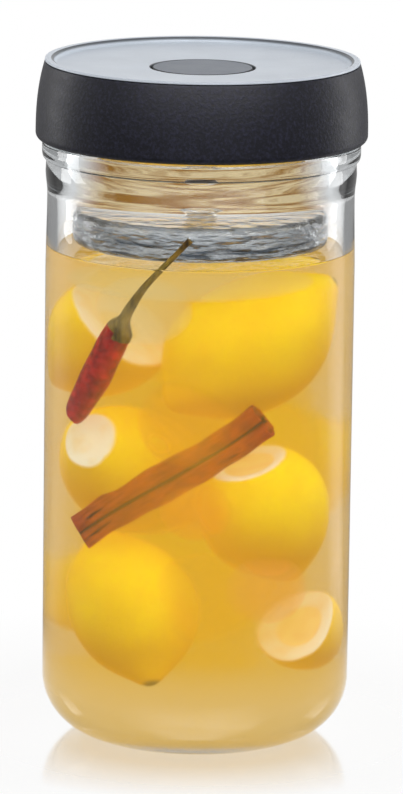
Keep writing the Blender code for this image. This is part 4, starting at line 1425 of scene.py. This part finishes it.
def bark_finish(dark, light):
    """Dry bark: fibres run along it, with darker cracks and paler scars, and painted shade in the
    groove between the two rolls.
    """
    material, tree = new_material("bark")
    inputs = {"X": mark_value(tree, "along"), "Y": mark_value(tree, "across")}
    place = add_node(tree, "ShaderNodeCombineXYZ", inputs).outputs[0]
    inputs = {"Vector": place, "Scale": (0.12, 1.0, 1.0)}
    stretched = add_node(tree, "ShaderNodeMapping", inputs).outputs[0]
    fibre = noise(stretched, 1.2 * MM, 4.0, 0.65)
    scar = spread(noise(place, 9 * MM, 3.0, 0.6), 0.35, 0.7, 0.0, 0.6)
    crack = spread(noise(stretched, 2.6 * MM, 2.0), 0.62, 0.7)
    # Painted shade in the groove.
    groove = spread(mark_value(tree, "groove"), 0.2, 0.7, 0.0, 0.9)
    shade = mixed(spread(fibre, 0.3, 0.7), dark, light)
    shade = mixed(scar, shade, toned(light, 1.25))
    shade = mixed(crack, shade, toned(dark, 0.35))
    shade = mixed(groove, shade, toned(dark, 0.2))
    inputs = {
        "Base Color": shade,
        "Roughness": spread(fibre, 0.3, 0.7, 0.65, 0.85),
        "Specular IOR Level": 0.3,
        "IOR": SOAKED_IOR,
        "Normal": bumped(fibre, 0.5 * MM),
    }
    return principled(material, inputs)


def turn_to(axis):
    """The turn that leads the Z axis to a direction."""
    return np.array(Vector(axis).to_track_quat("Z", "Y").to_matrix())


def wet_film():
    """Brine that clings to the glass over its level: the bore's outline, moved in by a hair. It
    shows only where the eye meets the inside of the glass at a right angle, and not in a mirror."""
    _, bore, _, neck_bore = jar_radii()
    bore -= FILM_GAP
    neck_bore -= FILM_GAP
    rim_z = round_box("glass_jar")[2]
    outline = joined(
        (bore, BRINE_LEVEL + 1.5 * MM),
        eased((bore, BODY_HEIGHT), (neck_bore, BEAD_LOW), 18),
        (neck_bore, rim_z - 3 * MM),
    )
    film = turned("wet_film", outline[::-1], 192, closed=False)
    material, tree = new_material("wet_film")
    streak = noise(object_place(tree, (1.0, 1.0, 9.0)), 26 * MM, 4.0, 0.6)
    tint = mixed(spread(streak, 0.4, 0.58), *FILM_COLOURS)
    facing = add_node(tree, "ShaderNodeLayerWeight", {"Blend": 0.5}).outputs["Facing"]
    inside = add_node(tree, "ShaderNodeNewGeometry").outputs["Backfacing"]
    over = spread(part_of(object_place(tree)), *FILM_START)
    direct = spread(ray(tree, "Glossy Depth"), 0.0, 1.0, 1.0, 0.0)
    ahead = spread(facing, 0.3, 0.6, 1.0, 0.0)
    tint = mixed(worked("MULTIPLY", ahead, inside, over, direct), WHITE, tint)
    clear = shader(tree, "ShaderNodeBsdfTransparent", {"Color": tint})
    film.data.materials.append(finished(material, clear))
    return film


class JAR_OT_filling(bpy.types.Operator):
    """Show the jar filled with cloudy brine, whole and cut fruit, a pod and rolled bark"""

    bl_idname = "jar.filling"
    bl_label = "Filling"

    def execute(self, context):
        settings = context.scene.jar_studio
        if not settings.filled:
            return {"FINISHED"}
        brine = turned("brine", brine_outline(), 192)
        brine.data.materials.append(brine_finish(settings.brine, settings.cloudiness))
        fruit_skin = fruit_finish(settings.peel)
        made = [brine, wet_film()]
        made += [cloud(*row) for row in CLOUDS]
        for number, (name, centre, axis, length, width, cut, pith) in enumerate(FRUIT):
            outline, layer = fruit_outline(length * MM, width * MM, cut * MM, pith * MM)
            pose = (turn_to(axis), np.array(centre) * MM)
            relief = fruit_relief(FRUIT_PHASE * number)
            fruit = turned(f"fruit_{name}", outline, 96, relief, {"layer": layer}, pose)
            fruit.data.materials.append(fruit_skin)
            made.append(fruit)
        pod = tapered("pod", POD_LINE, POD_RADIUS, 60, 40, 0.05)
        pod.data.materials.append(skin_finish("pod_skin", POD_COLOURS, 3 * MM, 0.3))
        stalk = tapered("pod_stalk", STALK_LINE, STALK_RADIUS, 80, 24, 0.06)
        stalk_skin = skin_finish("stalk_skin", STALK_COLOURS, 2.5 * MM, 0.45, (1.0, 1.0, 0.3))
        stalk.data.materials.append(stalk_skin)
        bark = make_bark()
        bark.data.materials.append(bark_finish(*BARK_COLOURS))
        return {"FINISHED"}


# The studio


def softbox(name, place, size, power):
    """A rectangular lamp that faces the jar."""
    data = bpy.data.lights.new(name, "AREA")
    data.shape = "RECTANGLE"
    data.size, data.size_y = size
    data.energy = power
    lamp = put_in_scene(name, data)
    lamp.location = place
    lamp.rotation_mode = "QUATERNION"
    lamp.rotation_quaternion = (Vector(LAMP_TARGET) - Vector(place)).to_track_quat("-Z", "Y")


def background(tree):
    """How much of the background a ray sees, and how bright. The camera sees it white, and so does
    glass that a ray has crossed on both its sides. A gloss, and glass that a ray has only dipped
    into, show it dimmed, as a room in front of a lit wall does, which draws the glass's edges."""
    camera = ray(tree, "Is Camera Ray")
    passed = ray(tree, "Is Transmission Ray")
    seen = worked("MAXIMUM", camera, ray(tree, "Is Glossy Ray"), passed)
    crossed = spread(ray(tree, "Transmission Depth"), 2.5, 3.5, DIMMED, 1.0)
    bright = mixed(passed, DIMMED, crossed, "Float")
    return seen, worked("MAXIMUM", bright, camera)


def make_world(strength):
    """White to the eye, and a plain even light on everything else. Gloss and glass see four lit
    walls with dimmer corners, under a dimmer ceiling. A gloss also sees the softbox in front."""
    world = bpy.data.worlds.new("studio")
    world.use_nodes = True
    tree = world.node_tree
    tree.nodes.clear()
    direction = add_node(tree, "ShaderNodeTexCoord").outputs["Generated"]
    up = part_of(direction)
    azimuth = worked("ARCTAN2", part_of(direction, "Y"), part_of(direction, "X"))
    glossy = ray(tree, "Is Glossy Ray")
    quarter = worked("COSINE", worked("MULTIPLY", azimuth, 4.0))
    walls = spread(quarter, -1.0, 1.0, 0.6, 1.0)
    ceiling = spread(up, 0.3, 0.6, 1.0, 0.3)
    ceiling = worked("MAXIMUM", ceiling, ray(tree, "Is Transmission Ray"))
    room = worked("MULTIPLY", walls, ceiling)
    room = worked("MAXIMUM", room, ray(tree, "Is Camera Ray"))
    seen, bright = background(tree)
    bright = worked("MULTIPLY", room, worked("MAXIMUM", bright, glossy))
    level = mixed(seen, strength, bright, "Float")
    front = spread(worked("SINE", azimuth), *CANOPY_SIDES, 0.0, CANOPY_GAIN)
    canopy = worked("MULTIPLY", front, spread(up, *CANOPY_EDGE), glossy)
    inputs = {"Color": WHITE, "Strength": worked("ADD", level, canopy)}
    light = shader(tree, "ShaderNodeBackground", inputs)
    add_node(tree, "ShaderNodeOutputWorld", {"Surface": light})
    bpy.context.scene.world = world


def floor_finish(colour):
    """White floor that keeps the jar's shadow and mirrors the jar only close to its base: its
    polish fades out with the distance from the axis. A gloss sees pools of light on it."""
    material, tree = new_material("floor")
    place = add_node(tree, "ShaderNodeTexCoord").outputs["Object"]
    distance = length_of(place)
    grain = noise(place, 60 * MM)
    tone = mixed(grain, toned(colour, 0.99), toned(colour, 1.01))
    dull = shader(tree, "ShaderNodeBsdfDiffuse", {"Color": tone})
    seen, bright = background(tree)
    bright = worked("MAXIMUM", bright, spread(distance, *FLOOR_LIT, 1.0, 0.0))
    start = spread(distance, *POOL_START)
    toward = add_node(tree, "ShaderNodeVectorMath", {0: place}, operation="NORMALIZE").outputs[0]
    glossy = ray(tree, "Is Glossy Ray")
    for side, gain in POOLS:
        near = add_node(tree, "ShaderNodeVectorMath", {0: toward, 1: side}, operation="DOT_PRODUCT")
        pool = spread(near.outputs["Value"], POOL_EDGE, 1.0, 0.0, gain)
        bright = worked("ADD", bright, worked("MULTIPLY", pool, start, glossy))
    white = shader(tree, "ShaderNodeEmission", {"Color": WHITE, "Strength": bright})
    share = worked("MULTIPLY", seen, spread(distance, *FLOOR_PLAIN, 0.85, 1.0))
    plain = mixed_shader(share, dull, white)
    polish = shader(tree, "ShaderNodeBsdfGlossy", {"Color": WHITE, "Roughness": 0.1})
    mirror = spread(distance, *FLOOR_MIRROR, 0.6, 0.0)
    return finished(material, mixed_shader(mirror, plain, polish))


class JAR_OT_studio(bpy.types.Operator):
    """Make the floor, the light and the camera"""

    bl_idname = "jar.studio"
    bl_label = "Studio"

    def execute(self, context):
        settings = context.scene.jar_studio
        make_world(settings.daylight)
        floor = turned("floor", points(FLOOR_RINGS, 0.0), 96)
        floor.data.flip_normals()
        floor.data.materials.append(floor_finish(settings.floor))
        for name, place, size, power in LAMPS:
            softbox(name, place, size, getattr(settings, power))
        make_camera()
        return {"FINISHED"}


def make_camera():
    """The camera looks ahead by its yaw and pitch, rolled about its own line of sight."""
    flat = math.cos(CAMERA_PITCH)
    ahead = Vector((math.sin(CAMERA_YAW) * flat, math.cos(CAMERA_YAW) * flat, -math.sin(CAMERA_PITCH)))
    level = ahead.cross(Vector((0.0, 0.0, 1.0))).normalized()
    upright = level.cross(ahead)
    across = math.cos(CAMERA_ROLL) * level + math.sin(CAMERA_ROLL) * upright
    up = -math.sin(CAMERA_ROLL) * level + math.cos(CAMERA_ROLL) * upright
    data = bpy.data.cameras.new("camera")
    data.sensor_width = SENSOR
    data.lens = LENS
    data.clip_start = 0.1
    data.clip_end = 50.0
    camera = put_in_scene("camera", data)
    turn = Matrix((across, up, -ahead)).transposed().to_4x4()
    camera.matrix_world = Matrix.Translation(CAMERA_PLACE) @ turn
    bpy.context.scene.camera = camera


class JAR_PT_panel(bpy.types.Panel):
    """Lists the jar's pieces and settings in the 3D view's sidebar"""

    bl_idname = "JAR_PT_panel"
    bl_label = "Fermentation jar"
    bl_space_type = "VIEW_3D"
    bl_region_type = "UI"
    bl_category = "Jar"

    def draw(self, context):
        layout = self.layout
        for group in (context.scene.jar_sizes, context.scene.jar_colours, context.scene.jar_studio):
            box = layout.box()
            for name in group.__annotations__:
                box.prop(group, name)
        for operator in OPERATORS:
            layout.operator(operator.bl_idname)


OPERATORS = (
    JAR_OT_glass_jar,
    JAR_OT_glass_weight,
    JAR_OT_lid_skirt,
    JAR_OT_top_plate,
    JAR_OT_lid_liner,
    JAR_OT_seals,
    JAR_OT_valve,
    JAR_OT_button,
    JAR_OT_spring,
    JAR_OT_filling,
    JAR_OT_studio,
)
GROUPS = (("jar_sizes", JarSizes), ("jar_colours", JarColours), ("jar_studio", StudioSettings))


def register():
    """Add the settings, operators and panel."""
    for name, group in GROUPS:
        bpy.utils.register_class(group)
        setattr(bpy.types.Scene, name, PointerProperty(type=group))
    for made in (*OPERATORS, JAR_PT_panel):
        bpy.utils.register_class(made)


def unregister():
    """Take the settings, operators and panel away again."""
    for made in (JAR_PT_panel, *reversed(OPERATORS)):
        bpy.utils.unregister_class(made)
    for name, group in reversed(GROUPS):
        delattr(bpy.types.Scene, name)
        bpy.utils.unregister_class(group)


def main():
    """Make every piece and the studio in order."""
    register()
    bpy.context.scene.view_settings.view_transform = "Standard"
    for operator in OPERATORS:
        group, name = operator.bl_idname.split(".")
        getattr(getattr(bpy.ops, group), name)()


if __name__ == "__main__":
    main()
